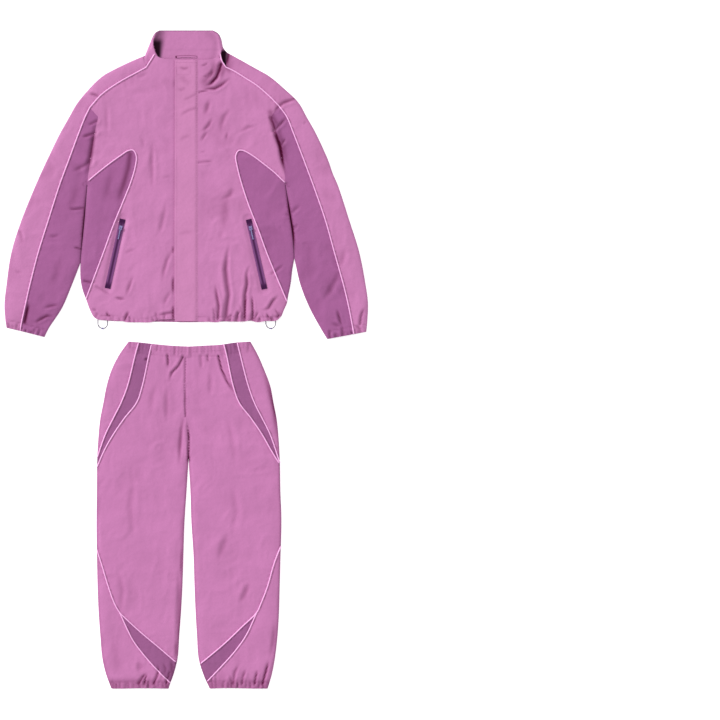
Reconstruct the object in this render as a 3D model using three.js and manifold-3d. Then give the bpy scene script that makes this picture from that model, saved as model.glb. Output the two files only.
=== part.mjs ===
// A tracksuit laid flat on its back: a zip jacket above and its trousers below.
// Millimetres. +X is to the right of someone looking down, +Y toward the collar, +Z up from the surface.
// Left and right are those of the same person.

import * as THREE from 'three';
import { mergeVertices } from 'three/addons/utils/BufferGeometryUtils.js';
import Module from 'manifold-3d';

const wasm = await Module();
wasm.setup();

// Driving dimensions
const CLOTH = 1.2;
const SEAM = 0.3;
const PIPING = 3.4;
const PIPING_STAND = { edge: 0.3, crown: 1.0 };
const LOFT = 2.2;
const ROLL = 28;
const FOLD_SINK = 0.5;
const ROW_STEP = 42;
const CURVE_STEP = 34;
const GATHER = { trough: 0.9, crest: 0.63, reach: 60 };

// Heights that follow from them
const SLOT = PIPING + 2 * SEAM;
const REST = 2 * CLOTH + SEAM;
const FULL = REST + LOFT;
const EDGE_TOP = REST - FOLD_SINK;
const LOWEST_TOP = REST;
const HIGHEST_TOP = REST + 3.6;

// Front opening: storm flap from its free edge to its sewn edge, over a zip tape
const FLAP = { left: -32, right: 34, top: 868, bottom: 111 };
const FLAP_MARGIN = 4;
const ZIP_HALF = 8;
const CALM = { from: 40, to: 80 };

// Height of the underarms, and open space round the garments for trimming
const UNDERARM_Y = 505;
const BELOW_HEM = 50;
const OUTSIDE = 340;
const FAR = 1100;
const DEEP = -10;
const HIGH = 40;
const RUN_OUT = 20;
const PAST_CUFF = 30;

// Sections of the left sleeve, from the neck to the cuff:
// outer fold, front piping, back piping, and the armhole or inner fold
const SLEEVE_LEFT = [
  { outer: [-120, 882], pipe: [-116, 847] },
  { outer: [-160, 865], pipe: [-138, 835] },
  { outer: [-202, 845], pipe: [-170, 818] },
  { outer: [-243, 822], pipe: [-205, 797] },
  { outer: [-280, 787], pipe: [-243, 770] },
  { outer: [-318, 741], pipe: [-279, 731], inner: [-279, 731] },
  { outer: [-339, 704], pipe: [-292, 704], back: [-302, 705], inner: [-255, 704] },
  { outer: [-366, 656], pipe: [-311, 656], back: [-322, 660], inner: [-265, 656] },
  { outer: [-404, 578], pipe: [-340, 578], back: [-345, 578], inner: [-278, 578] },
  { outer: [-419, 546], pipe: [-352, 546], back: [-353, 546], inner: [-282, 546] },
  { outer: [-437, 505], pipe: [-367, 505], back: [-363, 505], inner: [-287, 505] },
  { outer: [-478, 404], pipe: [-399, 404], back: [-391, 404], inner: [-296, 404] },
  { outer: [-507, 311], pipe: [-428, 311], back: [-418, 311], inner: [-305, 311] },
  { outer: [-521, 218], pipe: [-452, 218], back: [-441, 218], inner: [-331, 218] },
  { outer: [-527, 160], pipe: [-466, 157], back: [-456, 157], inner: [-360, 150] },
  { outer: [-524, 112], pipe: [-477, 108], back: [-468, 104], inner: [-398, 92] },
  { outer: [-521, 93], pipe: [-481, 84], back: [-473, 82], inner: [-411, 66] },
];

// The same for the right sleeve
const SLEEVE_RIGHT = [
  { outer: [120, 890], pipe: [115, 848] },
  { outer: [160, 868], pipe: [140, 836] },
  { outer: [201, 845], pipe: [172, 816] },
  { outer: [241, 822], pipe: [205, 795] },
  { outer: [283, 787], pipe: [240, 765] },
  { outer: [326, 745], pipe: [268, 737], inner: [268, 737] },
  { outer: [349, 704], pipe: [292, 704], back: [304, 703], inner: [246, 704] },
  { outer: [374, 660], pipe: [310, 660], back: [325, 662], inner: [259, 660] },
  { outer: [411, 580], pipe: [341, 580], back: [347, 580], inner: [278, 580] },
  { outer: [425, 540], pipe: [356, 540], back: [358, 540], inner: [285, 540] },
  { outer: [440, 505], pipe: [369, 505], back: [367, 505], inner: [288, 505] },
  { outer: [473, 404], pipe: [404, 404], back: [396, 404], inner: [305, 404] },
  { outer: [502, 311], pipe: [430, 311], back: [420, 311], inner: [312, 311] },
  { outer: [520, 218], pipe: [456, 218], back: [445, 218], inner: [331, 218] },
  { outer: [527, 165], pipe: [470, 160], back: [459, 160], inner: [358, 150] },
  { outer: [525, 110], pipe: [481, 104], back: [472, 100], inner: [396, 81] },
  { outer: [522, 81], pipe: [486, 75], back: [478, 73], inner: [409, 60] },
];

// Collar rim where the front piping starts, and the body's side fold below the underarm
const RIM_LEFT = [-91, 886];
const RIM_RIGHT = [99, 888];
const SIDE_LEFT = [[-286.4, 503], [-295, 404], [-304, 311], [-307, 242], [-304, 218], [-298, 195],
  [-289, 172], [-281, 149], [-269, 120]];
const SIDE_RIGHT = [[287.4, 503], [304, 404], [311, 311], [310, 242], [305, 218], [299, 195],
  [294, 172], [285, 149], [273, 120]];
const HEM = [[-240, 113], [0, 110], [243, 113]];
const NECK_BASE = [[108, 872], [-108, 872]];

// Seam lines of the dark side panels: on the front, and on the back
const WING_LEFT = [[-292, 512], [-278, 523], [-238, 556], [-189, 592], [-167, 606], [-153, 607],
  [-144, 590], [-147, 559], [-160, 514], [-182, 459], [-211, 388], [-236, 319], [-287, 184], [-303, 142]];
const WING_RIGHT = [[293, 508], [283, 517], [256, 543], [227, 566], [195, 590], [166, 606], [152, 606],
  [144, 590], [147, 561], [157, 514], [178, 450], [204, 381], [230, 305], [288, 176], [304, 140]];
const BACK_SIDE_LEFT = [[-303, 579], [-256, 584], [-222, 548], [-208, 480], [-207, 380], [-212, 260],
  [-227, 100]];
const BACK_SIDE_RIGHT = [[305, 577], [257, 586], [218, 548], [204, 480], [202, 380], [207, 260],
  [219, 100]];
const BAND_TOP = [[-300, 706], [-210, 752], [-105, 781], [0, 789], [105, 781], [210, 752], [302, 706]];
const BAND_LOW = [[-298, 638], [-210, 682], [-105, 709], [0, 717], [105, 709], [210, 682], [302, 640]];

// Back armholes from the band to the underarm, and the slits between side panels and sleeves below it
const BACK_ARM_LEFT = [[-300, 706], [-298, 638], [-303, 579], [-295, 540], [-287, 505]];
const BACK_ARM_RIGHT = [[302, 706], [302, 640], [305, 577], [296, 540], [288, 505]];
const SLIT_LEFT = [[-287, 505], [-295.5, 404], [-304.5, 311], [-310, 270]];
const SLIT_RIGHT = [[288, 505], [304.5, 404], [311.5, 311], [316, 270]];
const OPEN_LEFT = { side: [[-320, 50], [-320, 200]], sleeve: [[-400, 30], [-322, 50], [-321, 200]] };
const OPEN_RIGHT = { side: [[322, 50], [322, 200]], sleeve: [[400, 30], [324, 50], [323, 200]] };

// Pocket zips: top and bottom of each tape, and the pieces on it
const POCKET_LEFT = { top: [-184, 408], bottom: [-228, 207] };
const POCKET_RIGHT = { top: [181, 407], bottom: [227, 205] };
const TAPE_WIDTH = 15;
const SLIDER = { width: 9, length: 12, base: 2.2, cheek: 7.2, wall: 2.2, rise: 3.6, sink: 0.2, from_top: 26 };
const TAB = { width: 3.6, eye: 1.5, length: 32, thick: 1.4, droop: THREE.MathUtils.degToRad(5) };
const PIVOT = { along: -2, up: SLIDER.base + 1.9 };

// Cord loops at the hem, and the hanger loop in the neck
const LOOP_LEFT = { centre: [-242, 107], half: 14, drop: 16, rise: 12 };
const LOOP_RIGHT = { centre: [245, 107], half: 14, drop: 16, rise: 12 };
const CORD = 2.4;
const CRIMP = { length: 5, play: 0.4, wall: 1.05 };
const HANGER = { half: 31, y: 881, width: 6 };
const CORD_LEVEL = CLOTH + SEAM + CORD / 2;
const CORD_SIDES = 8;
const CORD_STEPS = 14;
const ROUND_SIDES = 12;

// Trousers, left leg: outseam, and centre seam or inseam, from the waist to the ankle
const LEG_LEFT = [
  { out: [-167, 52], in: [7, 36] },
  { out: [-194, 15], in: [5, 5] },
  { out: [-217, -31], in: [2, -40] },
  { out: [-231, -77], in: [-1, -82] },
  { out: [-240, -124], in: [-3, -126] },
  { out: [-249, -170], in: [-1, -170] },
  { out: [-254, -217], in: [3, -217] },
  { out: [-258, -285], in: [7, -285] },
  { out: [-259, -379], in: [1, -379] },
  { out: [-260, -472], in: [-5, -472] },
  { out: [-259, -565], in: [-8, -565] },
  { out: [-257, -657], in: [-11, -657] },
  { out: [-254, -730], in: [-15, -730] },
  { out: [-249, -800], in: [-20, -797] },
  { out: [-243, -866], in: [-25, -866] },
  { out: [-232, -913], in: [-37, -913] },
  { out: [-217, -953], in: [-51, -953] },
];

// Right leg
const LEG_RIGHT = [
  { out: [186, 52], in: [7, 36] },
  { out: [207, 15], in: [5, 5] },
  { out: [227, -31], in: [2, -40] },
  { out: [244, -77], in: [-1, -82] },
  { out: [253, -124], in: [-3, -126] },
  { out: [262, -170], in: [-1, -170] },
  { out: [267, -217], in: [3, -217] },
  { out: [271, -285], in: [7, -285] },
  { out: [273, -379], in: [12, -379] },
  { out: [276, -466], in: [15, -472] },
  { out: [273, -582], in: [21, -565] },
  { out: [271, -657], in: [24, -657] },
  { out: [269, -730], in: [27, -730] },
  { out: [265, -797], in: [31, -797] },
  { out: [257, -866], in: [36, -866] },
  { out: [248, -913], in: [50, -913] },
  { out: [236, -953], in: [68, -953] },
];

// Seams of the trousers' dark pieces, each run out past the panel it crosses
const STRIPE_OUT_LEFT = [[-132, 70], [-147, 15], [-170, -77], [-188, -124], [-211, -170], [-234, -217],
  [-270, -322]];
const STRIPE_IN_LEFT = [[-94, 70], [-107, 15], [-127, -77], [-143, -124], [-179, -170], [-211, -217],
  [-237, -263], [-272, -345]];
const STRIPE_OUT_RIGHT = [[144, 70], [157, 15], [181, -77], [198, -124], [221, -170], [244, -217],
  [286, -345]];
const STRIPE_IN_RIGHT = [[103, 70], [117, 15], [137, -77], [154, -124], [189, -170], [221, -217],
  [247, -263], [289, -330]];
const CALF_LEFT = [[-270, -515], [-246, -588], [-225, -657], [-208, -704], [-190, -736], [-153, -773],
  [-104, -820], [-10, -894]];
const CALF_RIGHT = [[286, -512], [256, -588], [236, -657], [218, -704], [205, -732], [163, -773],
  [114, -820], [22, -897]];
const SHIN_LEFT = [[-190, -736], [-162, -797], [-133, -843], [-92, -889], [-20, -961]];
const SHIN_RIGHT = [[205, -732], [175, -797], [143, -843], [102, -889], [34, -960]];

// Largest folds of each garment: a line, its half width, and its height (below 0 a trough)
const JACKET_FOLDS = [
  { from: [-98, 670], to: [-98, 480], half: 16, height: 1.2 },
  { from: [-60, 490], to: [-62, 385], half: 16, height: 1.0 },
  { from: [-36, 320], to: [-66, 225], half: 15, height: -1.4 },
  { from: [-151, 245], to: [-180, 172], half: 15, height: -1.4 },
  { from: [128, 346], to: [106, 225], half: 16, height: -1.5 },
  { from: [150, 350], to: [128, 225], half: 16, height: 1.2 },
  { from: [195, 282], to: [172, 140], half: 15, height: -1.4 },
  { from: [90, 215], to: [95, 150], half: 14, height: -1.0 },
  { from: [270, 186], to: [222, 141], half: 14, height: -1.2 },
  { from: [98, 855], to: [78, 811], half: 13, height: -1.6 },
  { from: [134, 824], to: [88, 787], half: 13, height: -1.2 },
  { from: [-443, 105], to: [-377, 128], half: 14, height: -1.5 },
  { from: [-402, 151], to: [-379, 154], half: 13, height: -1.0 },
  { from: [-420, 330], to: [-330, 290], half: 18, height: 1.2 },
  { from: [311, 760], to: [291, 741], half: 13, height: -1.2 },
  { from: [290, 647], to: [268, 626], half: 13, height: -1.2 },
  { from: [470, 300], to: [360, 250], half: 18, height: 1.2 },
  { from: [430, 180], to: [350, 140], half: 15, height: -1.3 },
];
const TROUSER_FOLDS = [
  { from: [-4, -22], to: [-22, -254], half: 16, height: -1.3 },
  { from: [-11, 2], to: [-50, -56], half: 14, height: -1.5 },
  { from: [-54, 10], to: [-54, -18], half: 13, height: -1.2 },
  { from: [63, 10], to: [63, -18], half: 13, height: -1.2 },
  { from: [93, 5], to: [130, -85], half: 14, height: -1.6 },
  { from: [122, -500], to: [93, -582], half: 18, height: -1.3 },
  { from: [157, -626], to: [137, -669], half: 18, height: -1.3 },
  { from: [-120, -330], to: [-150, -560], half: 22, height: 1.1 },
  { from: [120, -330], to: [150, -470], half: 22, height: 1.1 },
  { from: [-90, -905], to: [-94, -935], half: 12, height: -1.3 },
  { from: [-60, -880], to: [-90, -920], half: 12, height: -1.3 },
  { from: [140, -900], to: [144, -935], half: 12, height: -1.3 },
];

// Colours of the cloth and trims
const COLOURS = {
  light: { color: 0xcb82b6, roughness: 0.55, metalness: 0 },
  dark: { color: 0xa8629a, roughness: 0.55, metalness: 0 },
  piping: { color: 0xf3c4e6, roughness: 0.5, metalness: 0 },
  tape: { color: 0x5a2a5c, roughness: 0.6, metalness: 0 },
  metal: { color: 0x7d7396, roughness: 0.3, metalness: 0.8 },
  cord: { color: 0x6f6079, roughness: 0.7, metalness: 0 },
};

// Small helpers for points in plan
const mix = (a, b, t) => [a[0] + (b[0] - a[0]) * t, a[1] + (b[1] - a[1]) * t];
const clamp = (value, low, high) => Math.min(Math.max(value, low), high);
const column = (table, key) => table.filter((row) => row[key]).map((row) => row[key]);

function ease(value, low, high) {
  const t = clamp((value - low) / (high - low), 0, 1);
  return t * t * (3 - 2 * t);
}

function distanceToSegment(x, y, a, b) {
  const dx = b[0] - a[0];
  const dy = b[1] - a[1];
  const t = clamp(((x - a[0]) * dx + (y - a[1]) * dy) / (dx * dx + dy * dy), 0, 1);
  return Math.hypot(x - a[0] - dx * t, y - a[1] - dy * t);
}

function distanceToLines(x, y, lines) {
  let least = Infinity;
  for (const line of lines) {
    for (let i = 1; i < line.length; i += 1) {
      least = Math.min(least, distanceToSegment(x, y, line[i - 1], line[i]));
    }
  }
  return least;
}

// A smooth seam line through its points
function smooth(points) {
  const curve = new THREE.SplineCurve(points.map(([x, y]) => new THREE.Vector2(x, y)));
  const steps = Math.ceil(curve.getLength() / CURVE_STEP);
  return curve.getSpacedPoints(steps).map((p) => [p.x, p.y]);
}

// The line run on past its end
function extend(line, by) {
  const [a, b] = line.slice(-2);
  return [...line, mix(a, b, 1 + by / Math.hypot(b[0] - a[0], b[1] - a[1]))];
}

// Both edges of a ribbon of some width along a line
function ribbonEdges(line, width) {
  const side = (i, sign) => {
    const a = line[Math.max(i - 1, 0)];
    const b = line[Math.min(i + 1, line.length - 1)];
    const length = Math.hypot(b[0] - a[0], b[1] - a[1]);
    const reach = (sign * width) / 2 / length;
    return [line[i][0] - (b[1] - a[1]) * reach, line[i][1] + (b[0] - a[0]) * reach];
  };
  return { left: line.map((_, i) => side(i, 1)), right: line.map((_, i) => side(i, -1)) };
}

// Height of the top cloth over the surface, from the folded edges and the large folds
function roll(distance) {
  const t = clamp(distance / ROLL, 0, 1);
  return Math.sqrt(1 - (1 - t) * (1 - t));
}

function folds(x, y, list) {
  let sum = 0;
  for (const fold of list) {
    const d = distanceToSegment(x, y, fold.from, fold.to) / fold.half;
    sum += fold.height * Math.exp(-d * d);
  }
  return sum;
}

const FOLD_START = 0.3;
const below = (line, start) => [mix(line[start], line[start + 1], FOLD_START), ...line.slice(start + 1)];
const underarm = (table) => column(table, 'inner').findIndex((p) => p[1] <= UNDERARM_Y);
const JACKET_EDGES = [
  column(SLEEVE_LEFT, 'outer'),
  column(SLEEVE_RIGHT, 'outer'),
  below(column(SLEEVE_LEFT, 'inner'), underarm(SLEEVE_LEFT)),
  below(column(SLEEVE_RIGHT, 'inner'), underarm(SLEEVE_RIGHT)),
  below(SIDE_LEFT, 0),
  below(SIDE_RIGHT, 0),
];
const CROTCH_ROW = 7;
const TROUSER_EDGES = [
  column(LEG_LEFT, 'out'),
  column(LEG_RIGHT, 'out'),
  column(LEG_LEFT, 'in').slice(CROTCH_ROW),
  column(LEG_RIGHT, 'in').slice(CROTCH_ROW),
];

function jacketTop(x, y) {
  const lift = roll(distanceToLines(x, y, JACKET_EDGES));
  const relief = folds(x, y, JACKET_FOLDS) * lift * ease(Math.abs(x), CALM.from, CALM.to);
  const open = clamp(FULL + relief, LOWEST_TOP, HIGHEST_TOP);
  return EDGE_TOP + (open - EDGE_TOP) * lift;
}

function trouserTop(x, y) {
  const lift = roll(distanceToLines(x, y, TROUSER_EDGES));
  const relief = folds(x, y, TROUSER_FOLDS) * lift;
  return clamp(REST + LOFT * lift + relief, LOWEST_TOP, HIGHEST_TOP);
}

// Closed wall between a grid of top points and one of bottom points
function wallFromGrid(top, bottom) {
  const rows = top.length;
  const cols = top[0].length;
  const positions = [...top.flat(), ...bottom.flat()].flat();
  const index = [];
  const t = (r, c) => r * cols + c;
  const b = (r, c) => rows * cols + r * cols + c;
  const quad = (p, q, r, s) => index.push(p, q, r, p, r, s);
  for (let r = 0; r < rows - 1; r += 1) {
    for (let c = 0; c < cols - 1; c += 1) {
      quad(t(r, c), t(r + 1, c), t(r + 1, c + 1), t(r, c + 1));
      quad(b(r, c), b(r, c + 1), b(r + 1, c + 1), b(r + 1, c));
    }
    quad(t(r, 0), b(r, 0), b(r + 1, 0), t(r + 1, 0));
    quad(t(r, cols - 1), t(r + 1, cols - 1), b(r + 1, cols - 1), b(r, cols - 1));
  }
  for (let c = 0; c < cols - 1; c += 1) {
    quad(t(0, c), t(0, c + 1), b(0, c + 1), b(0, c));
    quad(t(rows - 1, c), b(rows - 1, c), b(rows - 1, c + 1), t(rows - 1, c + 1));
  }
  const geometry = new THREE.BufferGeometry();
  geometry.setAttribute('position', new THREE.Float32BufferAttribute(positions, 3));
  geometry.setIndex(index);
  return geometry;
}

// three.js geometry to a solid that can be cut and joined, and back
const WELD = 1e-4;

function solid(geometry) {
  const bare = geometry.clone();
  bare.deleteAttribute('normal');
  bare.deleteAttribute('uv');
  const merged = mergeVertices(bare, WELD);
  const mesh = new wasm.Mesh({
    numProp: 3,
    vertProperties: new Float32Array(merged.attributes.position.array),
    triVerts: new Uint32Array(merged.index.array),
  });
  const made = new wasm.Manifold(mesh);
  return made.volume() < 0 ? solid(flipped(merged)) : made;
}

function flipped(geometry) {
  const turned = geometry.clone();
  const index = Array.from(turned.index.array);
  for (let i = 0; i < index.length; i += 3) {
    [index[i], index[i + 1]] = [index[i + 1], index[i]];
  }
  turned.setIndex(index);
  return turned;
}

function geometryOf(made) {
  const mesh = made.getMesh();
  const geometry = new THREE.BufferGeometry();
  const points = [];
  for (let i = 0; i < mesh.vertProperties.length; i += mesh.numProp) {
    points.push(mesh.vertProperties[i], mesh.vertProperties[i + 1], mesh.vertProperties[i + 2]);
  }
  geometry.setAttribute('position', new THREE.Float32BufferAttribute(points, 3));
  geometry.setIndex(Array.from(mesh.triVerts));
  geometry.computeVertexNormals();
  return geometry;
}

// Upright prism of a plan outline
function prism(outline, low = DEEP, high = HIGH) {
  const shape = new THREE.Shape(outline.map(([x, y]) => new THREE.Vector2(x, y)));
  const geometry = new THREE.ExtrudeGeometry(shape, { depth: high - low, bevelEnabled: false });
  geometry.translate(0, 0, low);
  return solid(geometry);
}

const plate = (outline) => prism(outline, 0, CLOTH);

function ribbon(line, width) {
  const { left, right } = ribbonEdges(line, width);
  return prism([...left, ...right.reverse()]);
}

function cutAll(piece, cutters) {
  return cutters.reduce((rest, cutter) => rest.subtract(cutter), piece);
}

// Rows of a ruled sheet between two edges, no further apart than ROW_STEP
function rowsBetween(firstEdge, secondEdge) {
  const rows = [];
  for (let i = 0; i + 1 < firstEdge.length; i += 1) {
    const span = Math.hypot(firstEdge[i + 1][0] - firstEdge[i][0], firstEdge[i + 1][1] - firstEdge[i][1]);
    const steps = Math.max(1, Math.round(span / ROW_STEP));
    for (let k = 0; k < steps; k += 1) {
      const a = mix(firstEdge[i], firstEdge[i + 1], k / steps);
      const b = mix(secondEdge[i], secondEdge[i + 1], k / steps);
      rows.push({ a, b });
    }
  }
  rows.push({ a: firstEdge.at(-1), b: secondEdge.at(-1) });
  return rows;
}

// Cloth sheet between two edges: its columns are fractions across, and its gathers
// alternate from column to column within reach of the casing at its start or end
const nowhere = () => 0;
const everywhere = () => 1;

function sheet({ first, second, columns, height, floor = EDGE_TOP, atStart = nowhere, atEnd = nowhere }) {
  const rows = rowsBetween(first, second);
  const pull = (from, to) => 1 - ease(Math.hypot(from.a[0] - to.a[0], from.a[1] - to.a[1]), 0, GATHER.reach);
  const top = rows.map((row) => columns.map((u, c) => {
    const [x, y] = mix(row.a, row.b, u);
    const gather = pull(row, rows.at(-1)) * atEnd(x) + pull(row, rows[0]) * atStart(x);
    const inner = c > 0 && c < columns.length - 1;
    const swing = c % 2 ? -GATHER.trough : GATHER.crest;
    const wave = inner ? gather * swing : 0;
    return [x, y, Math.max(height(x, y) + wave, floor)];
  }));
  const bottom = top.map((row) => row.map(([x, y, z]) => [x, y, z - CLOTH]));
  return solid(wallFromGrid(top, bottom));
}

// Piping along a seam: a low crown over the cloth, or a flat strip on the surface below the back
function pipingOver(line, height) {
  const { left, right } = ribbonEdges(line, PIPING);
  const level = line.map(([x, y]) => height(x, y));
  const lift = [PIPING_STAND.edge, PIPING_STAND.crown, PIPING_STAND.edge];
  const at = (i) => [left[i], line[i], right[i]];
  const top = line.map((_, i) => at(i).map(([x, y], c) => [x, y, level[i] + lift[c]]));
  const bottom = line.map((_, i) => at(i).map(([x, y]) => [x, y, level[i] - CLOTH]));
  return solid(wallFromGrid(top, bottom));
}

function pipingUnder(line) {
  const { left, right } = ribbonEdges(line, PIPING);
  const top = line.map((_, i) => [[...left[i], CLOTH], [...right[i], CLOTH]]);
  const bottom = line.map((_, i) => [[...left[i], 0], [...right[i], 0]]);
  return solid(wallFromGrid(top, bottom));
}

const suit = new THREE.Group();

function add(name, made, colour) {
  const mesh = new THREE.Mesh(geometryOf(made), new THREE.MeshStandardMaterial(COLOURS[colour]));
  mesh.name = name;
  suit.add(mesh);
}

// Jacket seams in plan
const PIPE_LEFT = [RIM_LEFT, ...column(SLEEVE_LEFT, 'pipe')];
const PIPE_RIGHT = [RIM_RIGHT, ...column(SLEEVE_RIGHT, 'pipe')];
const ARMHOLE_LEFT = column(SLEEVE_LEFT, 'inner').slice(0, underarm(SLEEVE_LEFT) + 1);
const ARMHOLE_RIGHT = column(SLEEVE_RIGHT, 'inner').slice(0, underarm(SLEEVE_RIGHT) + 1);
const BACK_PIPE_LEFT = column(SLEEVE_LEFT, 'back');
const BACK_PIPE_RIGHT = column(SLEEVE_RIGHT, 'back');
const wingLeft = smooth(WING_LEFT);
const wingRight = smooth(WING_RIGHT);
const bandTop = smooth(BAND_TOP);
const bandLow = smooth(BAND_LOW);
const backSideLeft = smooth(BACK_SIDE_LEFT);
const backSideRight = smooth(BACK_SIDE_RIGHT);
const slitCuts = [ribbon(SLIT_LEFT, 2 * SEAM), ribbon(SLIT_RIGHT, 2 * SEAM)];
const frontPipeCuts = [PIPE_LEFT, PIPE_RIGHT].map((line) => ribbon(extend(line, RUN_OUT), SLOT));
const backPipeCuts = [BACK_PIPE_LEFT, BACK_PIPE_RIGHT].map((line) => ribbon(extend(line, RUN_OUT), SLOT));
const backArmCuts = [BACK_ARM_LEFT, BACK_ARM_RIGHT].map((line) => ribbon(line, SEAM));
const armholeCuts = [ribbon(ARMHOLE_LEFT, SEAM), ribbon(ARMHOLE_RIGHT, SEAM)];

// Fronts, cut along the side panels' piping and round the pocket zips. Their rows run from the
// shoulder, armhole and side to the zip, and drop a little toward the hem
const FRONT_COLUMNS = [0, 0.0225, 0.081, 0.171, 0.27, 0.369, 0.468, 0.567, 0.666, 0.783, 0.9, 1];
const SHOULDER_ROWS = 6;
const ROW_DROP = { by: 10, from: 300, to: 120 };

function frontSheet(pipe, armhole, side, flapEdge, zipEdge) {
  const outer = [...pipe.slice(0, SHOULDER_ROWS), ...armhole, ...side];
  const dropped = (y) => y - ROW_DROP.by * ease(y, ROW_DROP.from, ROW_DROP.to);
  const innerY = outer.map(([, y], i) => (i === 0 ? FLAP.top : Math.max(dropped(y), FLAP.bottom)));
  const inner = outer.map((_, i) => [zipEdge, Math.min(innerY[i], FLAP.top - i)]);
  const calm = (x) => ease(Math.abs(x), Math.abs(flapEdge), CALM.to);
  return sheet({ first: outer, second: inner, columns: FRONT_COLUMNS, height: jacketTop, atEnd: calm });
}

function zipOutline({ top, bottom }, width, grow) {
  const share = grow / Math.hypot(top[0] - bottom[0], top[1] - bottom[1]);
  const long = [mix(bottom, top, -share), mix(top, bottom, -share)];
  const { left, right } = ribbonEdges(long, width + 2 * grow);
  return [...left, ...right.reverse()];
}

const wingRegionLeft = prism([...wingLeft, [-OUTSIDE, 142], [-OUTSIDE, 512]]);
const wingRegionRight = prism([...wingRight, [OUTSIDE, 140], [OUTSIDE, 508]]);
const leftFrontCloth = frontSheet(PIPE_LEFT, ARMHOLE_LEFT, SIDE_LEFT, FLAP.left, -ZIP_HALF);
const rightFrontCloth = frontSheet(PIPE_RIGHT, ARMHOLE_RIGHT, SIDE_RIGHT, FLAP.right, ZIP_HALF);
const leftSeams = [frontPipeCuts[0], armholeCuts[0], slitCuts[0]];
const rightSeams = [frontPipeCuts[1], armholeCuts[1], slitCuts[1]];
const leftFrontCut = cutAll(leftFrontCloth, [ribbon(wingLeft, SLOT), ...leftSeams]);
const rightFrontCut = cutAll(rightFrontCloth, [ribbon(wingRight, SLOT), ...rightSeams]);
const tapeHoleLeft = prism(zipOutline(POCKET_LEFT, TAPE_WIDTH, SEAM));
const tapeHoleRight = prism(zipOutline(POCKET_RIGHT, TAPE_WIDTH, SEAM));
const overBack = prism([[-FAR, -FAR], [FAR, -FAR], [FAR, FAR], [-FAR, FAR]], DEEP, CLOTH + SEAM);
add('jacket_front_left', cutAll(leftFrontCut, [wingRegionLeft, tapeHoleLeft, overBack]), 'light');
add('jacket_front_right', cutAll(rightFrontCut, [wingRegionRight, tapeHoleRight, overBack]), 'light');

// Under layer of the whole jacket: one flat outline, parted along the back's seams
const outline = [
  ...column(SLEEVE_LEFT, 'outer'),
  ...column(SLEEVE_LEFT, 'inner').slice(underarm(SLEEVE_LEFT)).reverse(),
  ...SIDE_LEFT,
  ...HEM,
  ...[...SIDE_RIGHT].reverse(),
  ...column(SLEEVE_RIGHT, 'inner').slice(underarm(SLEEVE_RIGHT)),
  ...column(SLEEVE_RIGHT, 'outer').reverse(),
  ...NECK_BASE,
];
const underLayer = cutAll(plate(outline), [
  ...[bandTop, bandLow, backSideLeft, backSideRight].map((line) => ribbon(line, SLOT)),
  ...backPipeCuts,
  ...backArmCuts,
  ...slitCuts,
]);
const cuffLeft = extend(BACK_PIPE_LEFT, PAST_CUFF).at(-1);
const cuffRight = extend(BACK_PIPE_RIGHT, PAST_CUFF).at(-1);
const belowLeft = [BACK_SIDE_LEFT.at(-1)[0], BELOW_HEM];
const belowRight = [BACK_SIDE_RIGHT.at(-1)[0], BELOW_HEM];
const slitUpLeft = [...SLIT_LEFT].reverse();
const slitUpRight = [...SLIT_RIGHT].reverse();
const upperRegion = prism([
  cuffLeft, ...[...BACK_PIPE_LEFT].reverse(), ...bandTop, ...BACK_PIPE_RIGHT, cuffRight,
  [FAR, 0], [FAR, FAR], [-FAR, FAR], [-FAR, 0],
]);
const bandRegion = prism([...bandTop, ...[...bandLow].reverse()]);
const mainRegion = prism([
  ...bandLow, ...backSideRight, belowRight, belowLeft, ...[...backSideLeft].reverse(),
]);
const sideRegionLeft = prism([
  ...backSideLeft, belowLeft, ...OPEN_LEFT.side, ...slitUpLeft, ...BACK_ARM_LEFT.slice(2, 4).reverse(),
]);
const sideRegionRight = prism([
  ...backSideRight, belowRight, ...OPEN_RIGHT.side, ...slitUpRight, ...BACK_ARM_RIGHT.slice(2, 4).reverse(),
]);
const underRegionLeft = prism([
  ...BACK_PIPE_LEFT, cuffLeft, ...OPEN_LEFT.sleeve, ...slitUpLeft,
  ...BACK_ARM_LEFT.slice(0, 4).reverse(),
]);
const underRegionRight = prism([
  ...BACK_PIPE_RIGHT, cuffRight, ...OPEN_RIGHT.sleeve, ...slitUpRight,
  ...BACK_ARM_RIGHT.slice(0, 4).reverse(),
]);
add('jacket_back_band', underLayer.intersect(bandRegion), 'dark');
add('jacket_back_main', underLayer.intersect(mainRegion), 'light');
add('jacket_side_panel_left',
  underLayer.intersect(sideRegionLeft).add(leftFrontCut.intersect(wingRegionLeft)), 'dark');
add('jacket_side_panel_right',
  underLayer.intersect(sideRegionRight).add(rightFrontCut.intersect(wingRegionRight)), 'dark');

// Yoke with both upper sleeves, folded over along the shoulders and outer sleeves
const UPPER_COLUMNS = [0, 0.1, 0.35, 0.68, 1];
const UNDER_COLUMNS = [0, 0.33, 0.64, 0.9, 1];
const UNDER_START = 0.25;

function upperSheet(table) {
  return sheet({
    first: column(table, 'outer'), second: column(table, 'pipe'),
    columns: UPPER_COLUMNS, height: jacketTop, atEnd: everywhere,
  });
}

function underSheet(table) {
  const start = table.findIndex((row) => row.inner);
  const rows = table.slice(start + 1);
  const early = (key) => mix(table[start][key], rows[0][key], UNDER_START);
  return sheet({
    first: [early('pipe'), ...column(rows, 'pipe')], second: [early('inner'), ...column(rows, 'inner')],
    columns: UNDER_COLUMNS, height: jacketTop, atEnd: everywhere,
  });
}

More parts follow.
